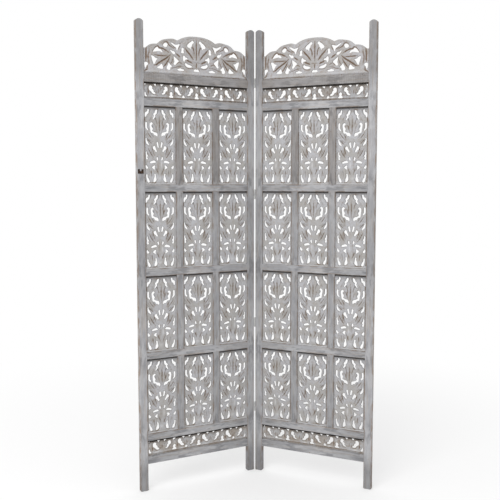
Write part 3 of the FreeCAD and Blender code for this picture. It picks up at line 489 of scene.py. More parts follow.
class Relief:
    """How deep the carving is at a point of a piece, how brown it is left, how much grime and
    painted shade darken it, and how much paler wash and painted highlight lighten it.
    """

    # A cut narrows, rises and pales over its first and last fifth.
    tapering = 5
    least_taper = 0.35
    narrowest = 0.6
    palest = 0.5
    brown_falloff = 0.6
    # Every form is rounded over next to a cut or an opening, and more sharply at the sawn edge.
    roll_reach = 2.6 * MM
    edge_drop = 0.9 * MM
    edge_reach = 1.1 * MM
    # The back's edges are rounded over this far in.
    rim_reach = 3 * MM
    # No face is dead flat.
    uneven_depth = 0.22 * MM
    uneven_size = 14 * MM
    # Painted shade darkens the faces along the sawn edges and in the cuts.
    shade_at_edge = 0.75
    shade_in_cut = 0.35
    shade_reach = 1.3 * MM

    def __init__(self, outline, loops, cuts, roll=0.9 * MM, shade_outline=False, bands=(),
                 patches=()):
        self.edge_a, self.edge_b = loop_pieces(loops + ([outline] if shade_outline else []))
        starts, ends, self.half, self.depth, self.brown = [], [], [], [], []
        for width, depth, brown, line in cuts:
            starts += list(line[:-1])
            ends += list(line[1:])
            places = (np.arange(len(line) - 1) + 0.5) / (len(line) - 1)
            taper = np.minimum(places, 1 - places) * self.tapering
            taper = np.clip(taper, self.least_taper, 1)
            self.half += list(width / 2 * MM * (self.narrowest + (1 - self.narrowest) * taper))
            self.depth += list(depth * MM * taper)
            self.brown += list(brown * (self.palest + (1 - self.palest) * taper))
        self.cut_a, self.cut_b = np.array(starts), np.array(ends)
        self.half, self.depth = np.array(self.half), np.array(self.depth)
        self.brown = np.array(self.brown)
        self.roll = roll
        self.bands = bands
        self.patches = patches

    def at(self, points):
        """Depth below the face, nearness to an edge, and brown, grime with painted shade, and pale
        with painted highlight at each point.
        """
        to_edge, _ = distance(points, self.edge_a, self.edge_b)
        to_cut, which = distance(points, self.cut_a, self.cut_b)
        half = self.half[which]
        channel = np.clip(1 - (to_cut / half) ** 2, 0, 1)
        feature = np.minimum(to_edge, np.maximum(to_cut - half, 0))
        dome = self.roll * np.exp(-feature / self.roll_reach)
        edge = self.edge_drop * np.exp(-to_edge / self.edge_reach)
        uneven = np.array([noise.noise(Vector((x, z, 0.3)) / self.uneven_size)
                           for x, z in points])
        depth = (dome + edge + channel * self.depth[which]
                 + self.uneven_depth * (uneven + 0.5))
        brown = np.exp(-(to_cut / half) ** 2 * self.brown_falloff) * self.brown[which]
        shade_and_grime = (self.shade_at_edge * np.exp(-to_edge / self.shade_reach)
                 + self.shade_in_cut * channel)
        wear_and_shade = {"brown": brown, "shade_and_grime": shade_and_grime, "pale": np.zeros(len(points))}
        for kind, level, reach, amount in self.bands:
            wear_and_shade[kind] += amount * np.exp(-np.abs(points[:, 1] - level) / reach)
        for kind, middle, wide, high, amount in self.patches:
            gaps = (points - middle) / (wide / 2 * MM, high / 2 * MM)
            wear_and_shade[kind] += amount * np.exp(-(gaps ** 2).sum(1))
        return depth, np.exp(-to_edge / self.rim_reach), wear_and_shade


def flat_grid(rims, step, seed, lines=()):
    """Scattered points inside the outline and clear of the openings, in close-packed rows."""
    # Shares of the step: how far a point is scattered, and the room it leaves.
    scatter, edge_room, line_room, line_edge_room = 0.12, 0.55, 0.5, 0.3
    point_length = 1e-7
    chance = np.random.default_rng(seed)
    low, high = rims[0].min(0), rims[0].max(0)
    rows = np.arange(low[1], high[1], step * math.sqrt(3) / 2)
    points = []
    for i, up in enumerate(rows):
        across = np.arange(low[0] + (i % 2) * step / 2, high[0], step)
        points.append(np.column_stack([across, np.full(len(across), up)]))
    points = np.vstack(points)
    points += chance.uniform(-scatter, scatter, points.shape) * step
    starts, ends = loop_pieces(rims)
    points = points[distance(points, starts, ends)[0] > edge_room * step]
    if len(lines):
        gaps = distance(points, lines, lines + point_length)[0]
        points = points[gaps > line_room * step]
        lines = lines[distance(lines, starts, ends)[0] > line_edge_room * step]
        points = np.vstack([lines, points])
    return points[within(points, rims)]


def cut_lines(cuts, step):
    """Points down the middle, the slopes and the rims of each gouge cut, none too close."""
    found = []
    for width, _, _, line in cuts:
        run = np.gradient(line, axis=0)
        side = np.column_stack([-run[:, 1], run[:, 0]])
        side /= np.maximum(np.linalg.norm(side, axis=1), NO_LENGTH)[:, None]
        for share in (0, -0.55, 0.55, -1.05, 1.05):
            found.append(line + side * share * width / 2 * MM)
    kept = []
    taken = set()
    cell_size = step / 2
    for x, z in np.vstack(found):
        cell = (round(x / cell_size), round(z / cell_size))
        if cell not in taken:
            taken.add(cell)
            kept.append((x, z))
    return np.array(kept)


def filled(rims, points):
    """Triangles between the outline and the openings, with where each rim point went."""
    flat = np.vstack(rims + [points])
    edges, first = [], 0
    for rim in rims:
        count = len(rim)
        edges += [(first + i, first + (i + 1) % count) for i in range(count)]
        first += count
    inside_only, merge_within = 1, 1e-7
    made = geometry.delaunay_2d_cdt([Vector(p) for p in flat.tolist()], edges, [], inside_only,
                                    merge_within)
    places = np.array([tuple(v) for v in made[0]])
    went = {}
    for i, origins in enumerate(made[3]):
        for origin in origins:
            went[origin] = i
    triangles = np.array([tuple(f) for f in made[2]])
    keep = within(places[triangles].mean(1), rims)
    return places, triangles[keep], [went[i] for i in range(first)]


def give_attribute(mesh, outline):
    """How far a point may drift: nothing at the edges that meet the frame, all of it inside."""
    fixed_margin, give_reach = 1 * MM, 12 * MM
    places = np.empty(len(mesh.vertices) * 3)
    mesh.vertices.foreach_get("co", places)
    flat = places.reshape(-1, 3)[:, (0, 2)]
    gaps = distance(flat, *loop_pieces([outline]))[0]
    give = np.clip((gaps - fixed_margin) / give_reach, 0, 1)
    give *= inside(flat, outline)
    mesh.attributes.new("give", "FLOAT", "POINT").data.foreach_set("value", give)


# A box's corners run through z, then y, then x.
BOX_FACES = ((4, 6, 2, 0), (3, 7, 5, 1), (1, 5, 4, 0), (6, 7, 3, 2), (2, 3, 1, 0), (5, 7, 6, 4))


def carved_mesh(name, outline, loops, cuts, tongues, seed, **looks):
    """A carved piece: relief on the front, shallower on the back, walls, and its tongues."""
    relief = Relief(outline, loops, cuts, **looks)
    rims = [turned(outline, 1)] + [turned(loop, -1) for loop in loops]
    verts, faces = [], []
    wear_and_shade = {kind: [] for kind in WEAR_AND_SHADE_KINDS}
    rim_at = []
    sides = ((-1, carving_step, 1.0, 0.0, cut_lines(cuts, carving_step)),
             (1, back_step, back_share, back_roll, ()))
    for side, step, share, roll, lines in sides:
        points = flat_grid(rims, step, seed + side, lines)
        places, triangles, rim = filled(rims, points)
        depth, by_edge, worn = relief.at(places)
        deep = side * (carving_thickness / 2 - depth * share - roll * by_edge)
        first = len(verts)
        verts += [(x, y, z) for (x, z), y in zip(places.tolist(), deep.tolist())]
        for kind in WEAR_AND_SHADE_KINDS:
            wear_and_shade[kind] += worn[kind].tolist()
        ordered = triangles if side < 0 else triangles[:, ::-1]
        faces += [tuple(face) for face in (ordered + first).tolist()]
        rim_at.append([first + i for i in rim])
    start = 0
    for count in map(len, rims):
        for i in range(count):
            a, b = start + i, start + (i + 1) % count
            faces.append((rim_at[0][a], rim_at[1][a], rim_at[1][b], rim_at[0][b]))
        start += count
    for low_x, high_x, low_z, high_z, brown, shade_and_grime in tongues:
        first = len(verts)
        deep = tongue_thickness / 2
        verts += [(x, y, z) for x in (low_x, high_x) for y in (-deep, deep) for z in (low_z, high_z)]
        faces += [tuple(first + i for i in face) for face in BOX_FACES]
        for kind, amount in zip(WEAR_AND_SHADE_KINDS, (brown, shade_and_grime, 0.0)):
            wear_and_shade[kind] += [amount] * 8
    mesh = bpy.data.meshes.new(name)
    mesh.from_pydata(verts, [], faces)
    for kind, amounts in wear_and_shade.items():
        mesh.attributes.new(kind, "FLOAT", "POINT").data.foreach_set("value", amounts)
    mesh.shade_smooth()
    mesh.set_sharp_from_angle(angle=crease_angle)
    mesh.validate()
    give_attribute(mesh, outline)
    return mesh


def scaled(shares, half_width, height, middle=0.0, side=1):
    """Places given in thousandths, in metres."""
    return np.array([(middle + side * (x / 1000) * half_width, z / 1000 * height)
                     for x, z in shares])


def mirrored_loops(tables, half_width, height):
    return [smooth_loop(scaled(shares, half_width, height, 0, side))
            for shares in tables for side in (-1, 1)]


def mirrored_cuts(grooves, half_width, height):
    """Both halves' cuts. One within this many thousandths of the middle line is made once."""
    middle_reach = 10
    cuts = []
    for width, depth, brown, shares in grooves:
        for side in (-1, 1) if max(abs(x) for x, _ in shares) > middle_reach else (1,):
            line = smooth_line(scaled(shares, half_width, height, 0, side))
            cuts.append((width, depth, brown, line))
    return cuts


def straight_cut(width, depth, brown, start, end):
    return width, depth, brown, smooth_line(np.array([start, end]))


insert_half = opening_width / 2
near, far = -insert_half + edge_gap, insert_half - edge_gap
low, high = edge_gap, row_opening - insert_top_gap
insert_outline = straight_points(((near, low), (far, low), (far, high), (near, high)))
insert_loops = mirrored_loops(INSERT_SHARES.values(), insert_half, row_opening)
insert_cuts = mirrored_cuts(INSERT_GROOVES, insert_half, row_opening)
# A brown margin down the outer edge, partly brown stain in the joint and partly painted shade in the
# gap by the stile.
margin = far - 2.5 * MM
insert_cuts.append(straight_cut(5.0, 0.5, 2.2, (margin, 0.04 * row_opening),
                                (margin, 0.85 * row_opening)))
# Painted shade and highlight that follow a level: kind, level, reach and amount. Painted shadow
# darkens the insert's top under the rail, and a painted highlight lightens its foot.
insert_bands = (("shade_and_grime", high, 2 * MM, 1.2), ("shade_and_grime", high, 14 * MM, 0.9),
                ("pale", low, 2.5 * MM, 1.0))
# Where the wash is worn or lies thicker on an insert, and where shade is painted beside the
# openings: kind, place in the same thousandths but over the whole width, width and height in
# millimetres, and amount.
INSERT_WEAR_AND_SHADE_SHARES = (
    # the bud
    ("brown", (30, 780), 9, 40, 0.35), ("brown", (-200, 745), 11, 26, 0.55),
    ("shade_and_grime", (290, 845), 8, 10, 0.7), ("shade_and_grime", (-240, 845), 8, 12, 0.7),
    ("shade_and_grime", (430, 745), 8, 14, 0.6), ("brown", (-390, 755), 8, 12, 0.6),
    # under the wreath
    ("brown", (-420, 595), 10, 42, 0.5), ("shade_and_grime", (520, 635), 14, 14, 0.4),
    ("shade_and_grime", (-640, 565), 16, 9, 0.6), ("shade_and_grime", (700, 565), 16, 9, 0.6),
    # beside the fan
    ("brown", (490, 445), 10, 24, 0.35), ("brown", (-450, 435), 11, 38, 0.45),
    ("shade_and_grime", (-620, 385), 12, 12, 0.5), ("brown", (-620, 300), 12, 14, 0.3),
    # the stem and the foot
    ("brown", (120, 270), 10, 44, 0.35), ("brown", (170, 185), 10, 20, 0.35),
    ("brown", (-140, 140), 10, 22, 0.35), ("brown", (580, 155), 7, 22, 0.55),
    ("shade_and_grime", (-580, 160), 8, 20, 0.5), ("brown", (450, 22), 56, 6, 0.7),
    ("brown", (-480, 22), 40, 6, 0.35), ("brown", (0, 400), 84, 190, 0.16),
    # The brown patch just under the top rail is partly painted shadow.
    ("brown", (250, 965), 46, 9, 0.7),
    # thicker wash
    ("pale", (-90, 250), 9, 36, 0.5), ("pale", (50, 80), 24, 18, 0.4),
    ("pale", (500, 870), 30, 16, 0.35), ("pale", (-620, 640), 18, 20, 0.3),
    ("pale", (400, 95), 18, 12, 0.3),
)


def placed(wear_and_shade, half_width, height, middle=0.0):
    return [(kind, np.array([middle + x / 1000 * half_width, z / 1000 * height]), wide, high, amount)
            for kind, (x, z), wide, high, amount in wear_and_shade]


# Each tongue: its two ends, its foot and its top, how brown it is, and how much painted shade
# darkens it, up to a near-black painted shadow in the slot under a rail.
reach = tongue_reach
side_foot, side_top = low - reach, row_opening + reach - hair
insert_tongues = ((-insert_half - reach, near, side_foot, side_top, 0.3, 1.3),
                  (far, insert_half + reach, side_foot, side_top, 0.6, 1.3),
                  (near, far, -reach, low, 0.3, 0.3),
                  (near, far, high, row_opening + reach, 0.5, 1.85))
insert_mesh = carved_mesh("insert", insert_outline, insert_loops, insert_cuts, insert_tongues,
                          seed=11, bands=insert_bands,
                          patches=placed(INSERT_WEAR_AND_SHADE_SHARES, insert_half, row_opening))


def washed_carving(name, wash="#ADADB0", dull="#A3A19F", brown="#6E6053", shade_and_grime="#747476",
                   slot_shadow="#1C1815", worn="#9A9087", mottled=0.5):
    """The same wash on carved wood: paler on the high places, brown down in the gouge cuts, with
    painted shade along the edges, in the cuts and under the rails, and a painted highlight along the
    foot.
    """
    material, tree, shader = new_material(name)
    place = add(tree, "ShaderNodeTexCoord").outputs["Object"]
    # thin patches, then grain, then spots where the wood shows
    layers = ((45, 45, 3.0, 0.0, 0.40, 0.62, 1.0, dull),
              (30, 2.2, 3.0, 8.8, 0.50, 0.72, 0.6, "#9A9A9C"),
              (8, 8, 3.0, 4.4, 0.50, 0.68, mottled, worn))
    colour, (_, grain, mottle) = wash_layers(tree, place, 2, wash, layers)
    wear_and_shade = {kind: add(tree, "ShaderNodeAttribute", attribute_name=kind).outputs["Fac"]
            for kind in WEAR_AND_SHADE_KINDS}
    # Paler wash, and a painted highlight along the foot.
    colour = blend_colour(tree, between(tree, wear_and_shade["pale"], 0.1, 0.8), colour, "#CBCBCC")
    # Grime and painted shade at the edges, in the cuts and under the rails.
    darkening = combine(tree, between(tree, wear_and_shade["shade_and_grime"], 0.1, 1.2), 0.85)
    colour = blend_colour(tree, darkening, colour, shade_and_grime)
    varied = combine(tree, combine(tree, mottle, 1.4), 0.35, "ADD")
    stained = between(tree, combine(tree, wear_and_shade["brown"], varied), 0.10, 1.20)
    colour = blend_colour(tree, stained, colour, brown)
    # A near-black painted shadow in the slots and along the top edges under the rails.
    colour = blend_colour(tree, between(tree, wear_and_shade["shade_and_grime"], 1.3, 2.3), colour, slot_shadow)
    shader.inputs["Specular IOR Level"].default_value = 0.25
    finish(tree, shader, colour, 0.75, combine(tree, mottle, grain, "ADD"), 0.4, 0.6 * MM)
    return material


carving_material = washed_carving("washed_carving")


def row_tree():
    """Sets copies of a carved piece side by side, each a little different, as hand work is."""
    tree = bpy.data.node_groups.new("carvings_in_a_row", "GeometryNodeTree")
    for title, kind in (("Carving", "NodeSocketGeometry"), ("Count", "NodeSocketInt"),
                        ("Pitch", "NodeSocketFloat"), ("First", "NodeSocketVector"),
                        ("Drift", "NodeSocketFloat"), ("Finish", "NodeSocketMaterial")):
        tree.interface.new_socket(title, in_out="INPUT", socket_type=kind)
    tree.interface.new_socket("Row", in_out="OUTPUT", socket_type="NodeSocketGeometry")
    given = add(tree, "NodeGroupInput").outputs
    step = add(tree, "ShaderNodeCombineXYZ", {"X": given["Pitch"]})
    line = add(tree, "GeometryNodeMeshLine", {"Count": given["Count"],
                                              "Start Location": given["First"],
                                              "Offset": step.outputs[0]}, mode="OFFSET")
    set_out = add(tree, "GeometryNodeInstanceOnPoints", {"Points": line.outputs[0],
                                                         "Instance": given["Carving"]})
    real = add(tree, "GeometryNodeRealizeInstances", {"Geometry": set_out.outputs[0]})
    waves_in_a_metre = 22.0
    wander = add(tree, "ShaderNodeTexNoise", {"Scale": waves_in_a_metre, "Detail": 1.0})
    centred = add(tree, "ShaderNodeVectorMath", {0: wander.outputs["Color"], 1: (0.5, 0.5, 0.5)},
                  operation="SUBTRACT")
    give = add(tree, "GeometryNodeInputNamedAttribute", {"Name": "give"}, data_type="FLOAT")
    amount = combine(tree, given["Drift"], give.outputs["Attribute"])
    drift = add(tree, "ShaderNodeVectorMath", {0: centred.outputs[0], "Scale": amount},
                operation="SCALE")
    moved = add(tree, "GeometryNodeSetPosition", {"Geometry": real.outputs[0],
                                                  "Offset": drift.outputs[0]})
    dressed = add(tree, "GeometryNodeSetMaterial", {"Geometry": moved.outputs[0],
                                                    "Material": given["Finish"]})
    add(tree, "NodeGroupOutput", {"Row": dressed.outputs[0]})
    return tree


carvings_in_a_row = row_tree()


def set_row(side, title, mesh, count, pitch, first, drift, material, node):
    """Makes a row of carvings a plain mesh, stands it in its leaf and lets it replace its node."""
    name = f"{side}_{title}"
    maker = bpy.data.objects.new(f"{name}_maker", mesh)
    bpy.context.scene.collection.objects.link(maker)
    modifier = maker.modifiers.new("row", "NODES")
    modifier.node_group = carvings_in_a_row
    amounts = {"Count": count, "Pitch": pitch, "First": first, "Drift": drift, "Finish": material}
    for item in carvings_in_a_row.interface.items_tree:
        if item.name in amounts:
            modifier[item.identifier] = amounts[item.name]
    evaluated = maker.evaluated_get(bpy.context.evaluated_depsgraph_get())
    baked = bpy.data.meshes.new_from_object(evaluated)
    maker.modifiers.remove(modifier)
    bpy.data.objects.remove(maker)
    baked.name = name
    baked.transform(LEAVES[side])
    if side == "left":
        baked.flip_normals()
    piece = bpy.data.objects.new(name, baked)
    bpy.context.scene.collection.objects.link(piece)
    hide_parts(f"{side}_{node}")
    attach(piece, f"{side}_leaf")


for side in LEAVES:
    for row in range(1, ROWS + 1):
        level = first_row_level + (ROWS - row) * (row_opening + rail_height)
        set_row(side, f"insert_carvings_{row}", insert_mesh, COLUMNS, opening_width + muntin_width,
                (stile_width + insert_half, 0, level), 2.4 * MM, carving_material,
                f"carved_inserts_row_{row}")

# The friezes: a narrow carved board over and under the rows, with a running pattern of bells and
# leaves between them. The same wood and wash, with its tongue in the rails and stiles.

inner_half = 444 * MM / 2
frieze_opening = 62 * MM
frieze_unit = 107.5 * MM
FRIEZE_UNITS = 4
frieze_top_gap = 6.0 * MM
frieze_foot_gap = 5 * MM
frieze_levels = {"upper": 1534.9 * MM, "lower": 138.5 * MM}

# One unit, from the middle of a bell: places in thousandths of the unit and of the height.
CUP_SHARES = {
    "near_cup_gap": ((137, 644), (162, 764), (227, 798), (287, 720), (278, 631), (328, 535),
        (338, 447), (403, 354), (367, 288), (278, 321), (222, 442), (156, 509)),
    "far_cup_gap": ((870, 621), (850, 740), (786, 790), (726, 712), (744, 615), (693, 519),
        (694, 423), (624, 321), (674, 282), (756, 341), (799, 478), (855, 535)),
}
TOP_NOTCH_SHARES = {
    "near_top_notch": ((313, 944), (432, 944), (425, 815), (384, 763)),
    "far_top_notch": ((572, 944), (713, 944), (664, 825), (626, 762), (585, 811)),
}
FOOT_HOLE_SHARES = ((477, 309), (539, 174), (477, 134), (414, 174))
BELL_GAP_SHARES = ((0, 492), (52, 425), (58, 327), (44, 264), (90, 190), (71, 123), (0, 115),
        (-71, 123), (-90, 190), (-44, 264), (-58, 327), (-52, 425))
BELL_NOTCH_SHARES = ((0, 747), (66, 848), (66, 944), (-66, 944), (-66, 848))
END_SLIT_SHARES = ((51, 380), (92, 389), (105, 271), (151, 158), (123, 116), (65, 142), (44, 249))
END_NOTCH_SHARES = ((44, 782), (105, 863), (105, 944), (38, 944))

# Wear, painted shade near the top, and gouge cuts of one unit, in the same thousandths.
FRIEZE_WEAR_AND_SHADE_SHARES = (
    ("brown", (115, 360), 10, 16, 0.5), ("brown", (425, 400), 7, 9, 0.9),
    ("brown", (850, 300), 14, 9, 0.6), ("brown", (880, 820), 16, 8, 0.5),
    ("brown", (220, 820), 22, 8, 0.45), ("shade_and_grime", (620, 820), 22, 9, 0.6),
    ("shade_and_grime", (170, 840), 20, 9, 0.5), ("pale", (280, 200), 20, 8, 0.4),
    ("pale", (530, 550), 18, 14, 0.25), ("pale", (10, 620), 9, 16, 0.4),
)
FRIEZE_GROOVES = (
    # the palmette's heart
    (5.0, 1.4, 0.7, ((500, 340), (505, 470), (500, 590))),
    # grooves beside the bells
    (4.4, 1.3, 0.6, ((118, 290), (116, 520), (104, 720))),
    (3.6, 1.3, 0.5, ((905, 300), (900, 500), (915, 700))),
    # sweeps under the cups
    (3.4, 1.3, 0.45, ((165, 450), (240, 320), (330, 245), (400, 275))),
    (3.4, 1.3, 0.45, ((835, 440), (770, 310), (690, 240), (620, 270))),
    # the palmette's leaves
    (2.6, 1.0, 0.2, ((420, 690), (400, 580), (440, 470))),
    (2.6, 1.0, 0.2, ((585, 690), (605, 580), (560, 470))),
    (2.4, 0.9, 0.3, ((300, 880), (345, 740), (385, 640))),
    (2.4, 0.9, 0.3, ((720, 880), (670, 740), (625, 640))),
)

low, high = frieze_foot_gap, frieze_opening - frieze_top_gap
near, far = -inner_half + edge_gap, inner_half - edge_gap
frieze_loops, frieze_cuts, frieze_wear_and_shade, notches = [], [], [], []


def frieze_places(shares, bell, side=-1):
    return scaled(shares, frieze_unit, frieze_opening, bell, side)


# The units run in from the leaf's outer end, each from the middle of a bell. The end bells are
# cut short by the stiles, and every second unit has a hole at its foot.
for i in range(FRIEZE_UNITS + 1):
    bell = (FRIEZE_UNITS / 2 - i) * frieze_unit
    tables, open_tables = [], []
    if 0 < i < FRIEZE_UNITS:
        tables.append(BELL_GAP_SHARES)
        open_tables.append(BELL_NOTCH_SHARES)
    if i < FRIEZE_UNITS:
        tables += list(CUP_SHARES.values())
        open_tables += list(TOP_NOTCH_SHARES.values())
        frieze_wear_and_shade += placed(FRIEZE_WEAR_AND_SHADE_SHARES, -frieze_unit, frieze_opening, bell)
        for width, depth, brown, shares in FRIEZE_GROOVES:
            frieze_cuts.append((width, depth, brown, smooth_line(frieze_places(shares, bell))))
    if i % 2 and i < FRIEZE_UNITS:
        tables.append(FOOT_HOLE_SHARES)
    frieze_loops += [smooth_loop(frieze_places(shares, bell)) for shares in tables]
    notches += [frieze_places(shares, bell) for shares in open_tables]
for side in (-1, 1):
    edge = -side * inner_half
    frieze_loops.append(smooth_loop(frieze_places(END_SLIT_SHARES, edge, side)))
    notches.append(frieze_places(END_NOTCH_SHARES, edge, side))
# A brown line along the foot.
foot_level = low + 0.5 * MM
frieze_cuts.append(straight_cut(4.2, 0.35, 0.9, (near, foot_level), (far, foot_level)))
# Painted shadow under the rail along the top, and a painted highlight along the foot.
frieze_bands = (("shade_and_grime", high, 2.5 * MM, 1.5), ("shade_and_grime", high, 16 * MM, 0.7),
                ("pale", low + 4 * MM, 2.5 * MM, 0.5))


def notched_outline(near, far, low, high, notches):
    """A long board's edge, from its lower left corner round, dipping into each notch."""
    corners = [(near, low), (far, low), (far, high)]
    for notch in sorted(notches, key=lambda n: -n[:, 0].mean()):
        dip = [p for p in notch.tolist() if p[1] < high]
        mouth = [p[0] for p in notch.tolist() if p[1] >= high] or [p[0] for p in dip]
        dip.sort(key=lambda p: -p[0])
        corners += [(max(mouth), high)] + [tuple(p) for p in dip] + [(min(mouth), high)]
    return straight_points(corners + [(near, high)])


side_foot, side_top = hair - reach, frieze_opening + reach - hair
frieze_tongues = ((-inner_half - reach, near, side_foot, side_top, 0.5, 1.3),
                  (far, inner_half + reach, side_foot, side_top, 0.5, 1.3),
                  (near, far, -reach, low, 0.35, 0.0),
                  (near, far, high, frieze_opening + reach, 0.2, 2.1))
frieze_outline = notched_outline(near, far, low, high, notches)
frieze_mesh = carved_mesh("frieze", frieze_outline, frieze_loops, frieze_cuts, frieze_tongues,
                          seed=21, bands=frieze_bands, patches=frieze_wear_and_shade)
# The two friezes have one finish. The upper copy is painted darker and the lower one lighter, as
# painted shade and painted light.
frieze_materials = {
    "upper": washed_carving("shaded_upper_frieze_wash", "#9E9EA0", "#918B85", "#6A5747", "#6A645E",
                            "#241E1A", worn="#857970", mottled=0.6),
    "lower": washed_carving("lit_lower_frieze_wash", "#AAAAAB", "#9B948D", "#6E5B4B", "#736C66",
                            "#241E1A", worn="#8E8176", mottled=0.6)}
for side in LEAVES:
    for name, level in frieze_levels.items():
        set_row(side, f"{name}_frieze_carving", frieze_mesh, 1, 0.0,
                (stile_width + inner_half, 0, level), 1.2 * MM, frieze_materials[name],
                f"{name}_frieze")

# The crests: the palest and deepest carving, one board between the stile tops with five lobes.
# Its foot sits in the crest rail's groove and its ends in the stiles'.

crest_level = 1627.9 * MM
crest_rise = 154 * MM
crest_foot_gap = 3.5 * MM
crest_end_rise = 96 * MM
# The crest's cuts are broader and browner than the table of their lines gives.
crest_cut_widening = 1.2
crest_staining = 1.7
most_brown = 1.4

# The right half again, in thousandths of half the crest's width and of its rise.
CREST_SHARES = {
    "petal_gap": ((44, 857), (75, 901), (102, 868), (147, 821), (181, 760), (160, 714), (133, 710),
        (123, 667), (107, 686), (102, 729), (84, 758), (73, 810)),
    "cheek_hole": ((240, 691), (269, 705), (288, 671), (285, 638), (295, 581), (265, 567),
        (233, 578), (242, 632)),
    "tee_hole": ((224, 508), (253, 501), (261, 425), (247, 363), (223, 369), (212, 411),
        (170, 419), (173, 455), (207, 471)),
    "scroll_slit": ((78, 249), (120, 284), (165, 300), (199, 329), (223, 305), (209, 256),
        (170, 224), (120, 221)),
    "side_flat_slit": ((238, 165), (270, 172), (303, 189), (339, 172), (368, 157), (349, 128),
        (271, 125), (241, 136)),
    "spread_hole": ((316, 781), (361, 770), (405, 764), (454, 802), (494, 802), (448, 740),
        (412, 707), (391, 683), (378, 623), (360, 627), (343, 690)),
    "small_slit": ((403, 563), (426, 597), (458, 601), (480, 627), (500, 615), (473, 561),
        (441, 524), (408, 532)),
    "star_hole": ((432, 475), (383, 432), (335, 366), (364, 319), (408, 257), (439, 285),
        (423, 341), (430, 404)),
    "flame_hole": ((464, 225), (502, 273), (524, 320), (546, 252), (569, 180), (545, 134),
        (499, 138), (492, 191)),
    "bud_hole": ((626, 175), (645, 256), (665, 263), (702, 213), (740, 179), (724, 153),
        (645, 143)),
    "teardrop_hole": ((542, 763), (574, 789), (610, 769), (632, 721), (610, 685), (565, 685),
        (547, 724)),
    "arch_slit": ((635, 562), (668, 617), (708, 636), (729, 673), (775, 633), (816, 548),
        (768, 553), (701, 569), (665, 549)),
    "wedge_hole": ((847, 451), (841, 381), (825, 309), (803, 237), (782, 262), (751, 347),
        (727, 385), (767, 400), (802, 439)),
    "end_hole": ((909, 265), (942, 283), (974, 262), (974, 192), (959, 137), (940, 151),
        (931, 194), (909, 223)),
}
CREST_MIDDLE_SHARES = ((0, 183), (25, 193), (57, 156), (51, 132), (0, 129), (-51, 132), (-57, 156),
        (-25, 193))
CREST_LOBE_SHARES = (
    ((0, 1000), (135, 990), (270, 938), (365, 867)),
    ((365, 867), (450, 899), (563, 880), (653, 844), (712, 782), (739, 744)),
    ((739, 744), (811, 737), (865, 718), (910, 679), (955, 623)),
)

CREST_GROOVES = (
    # centre vein, its foot and the collar over it
    (3.3, 1.8, 0.75, ((3, 905), (4, 662), (5, 410))),
    (2.6, 1.3, 0.7, ((3, 345), (4, 215))),
    (2.0, 0.7, 0.45, ((0, 352), (35, 350), (68, 344))),
    # strokes along the lobes
    (2.4, 0.5, 0.28, ((20, 955), (110, 938), (200, 890))),
    (2.4, 0.5, 0.3, ((245, 860), (300, 805), (345, 745))),
    (2.4, 0.5, 0.3, ((430, 850), (520, 850), (590, 825), (650, 780))),
    (2.4, 0.5, 0.25, ((770, 700), (840, 690), (900, 640))),
    # inner petal: edge, tip and veins
    (3.6, 1.5, 0.7, ((90, 753), (63, 695), (50, 630), (45, 532))),
    (3.0, 1.0, 0.4, ((86, 812), (63, 844))),
    (4.2, 2.0, 0.95, ((221, 688), (180, 617), (135, 552), (99, 487), (68, 429))),
    (4.0, 1.8, 0.85, ((194, 409), (158, 377), (122, 357), (86, 331))),
    # upper arc and its end
    (3.4, 1.2, 0.5, ((90, 877), (149, 812), (189, 760))),
    (3.0, 1.2, 0.5, ((297, 753), (324, 714), (347, 656))),
    # middle petal vein and second petal edge
    (3.8, 1.6, 0.8, ((315, 461), (351, 500), (392, 539))),
    (3.4, 1.3, 0.55, ((387, 669), (423, 688), (455, 727))),
    # arch over the drop
    (3.4, 1.3, 0.6, ((428, 649), (473, 695), (518, 727), (541, 786), (572, 812), (608, 786),
        (640, 734))),
    # scroll: crown, edge and foot
    (3.2, 1.2, 0.5, ((266, 279), (306, 318), (338, 331), (365, 305), (401, 260))),
    (3.2, 1.2, 0.45, ((248, 234), (293, 234), (351, 221), (405, 195), (450, 182), (486, 143))),
    (3.2, 1.2, 0.45, ((41, 201), (113, 195), (171, 201), (207, 234), (239, 286))),
    # flame: edge and vein
    (3.2, 1.2, 0.5, ((441, 442), (450, 390), (468, 325), (500, 273))),
    (3.6, 1.6, 0.75, ((509, 442), (532, 370), (563, 305), (590, 247), (626, 188))),
    # great leaf vein
    (4.4, 2.2, 1.0, ((495, 500), (541, 448), (586, 396), (631, 357), (676, 318), (721, 273),
        (757, 234), (802, 214))),
    # side leaf vein
    (3.6, 1.5, 0.65, ((550, 468), (608, 461), (707, 461), (793, 474))),
    # shoulder arc
    (4.0, 1.6, 0.75, ((523, 552), (568, 591), (613, 623), (653, 643), (698, 649), (725, 682),
        (757, 662), (793, 610), (820, 558))),
    # end post: vein, edge and hollow
    (4.6, 1.8, 0.85, ((937, 636), (946, 532), (946, 403), (950, 299))),
    (4.6, 1.4, 0.55, ((887, 617), (887, 545), (901, 468), (905, 370), (887, 234))),
    (4.0, 1.4, 0.6, ((914, 195), (928, 143), (932, 97), (964, 78), (986, 39))),
)

lobes = [smooth_line(scaled(lobe, inner_half, crest_rise)) for lobe in CREST_LOBE_SHARES]
shoulder = lobes[-1][-1, 1]
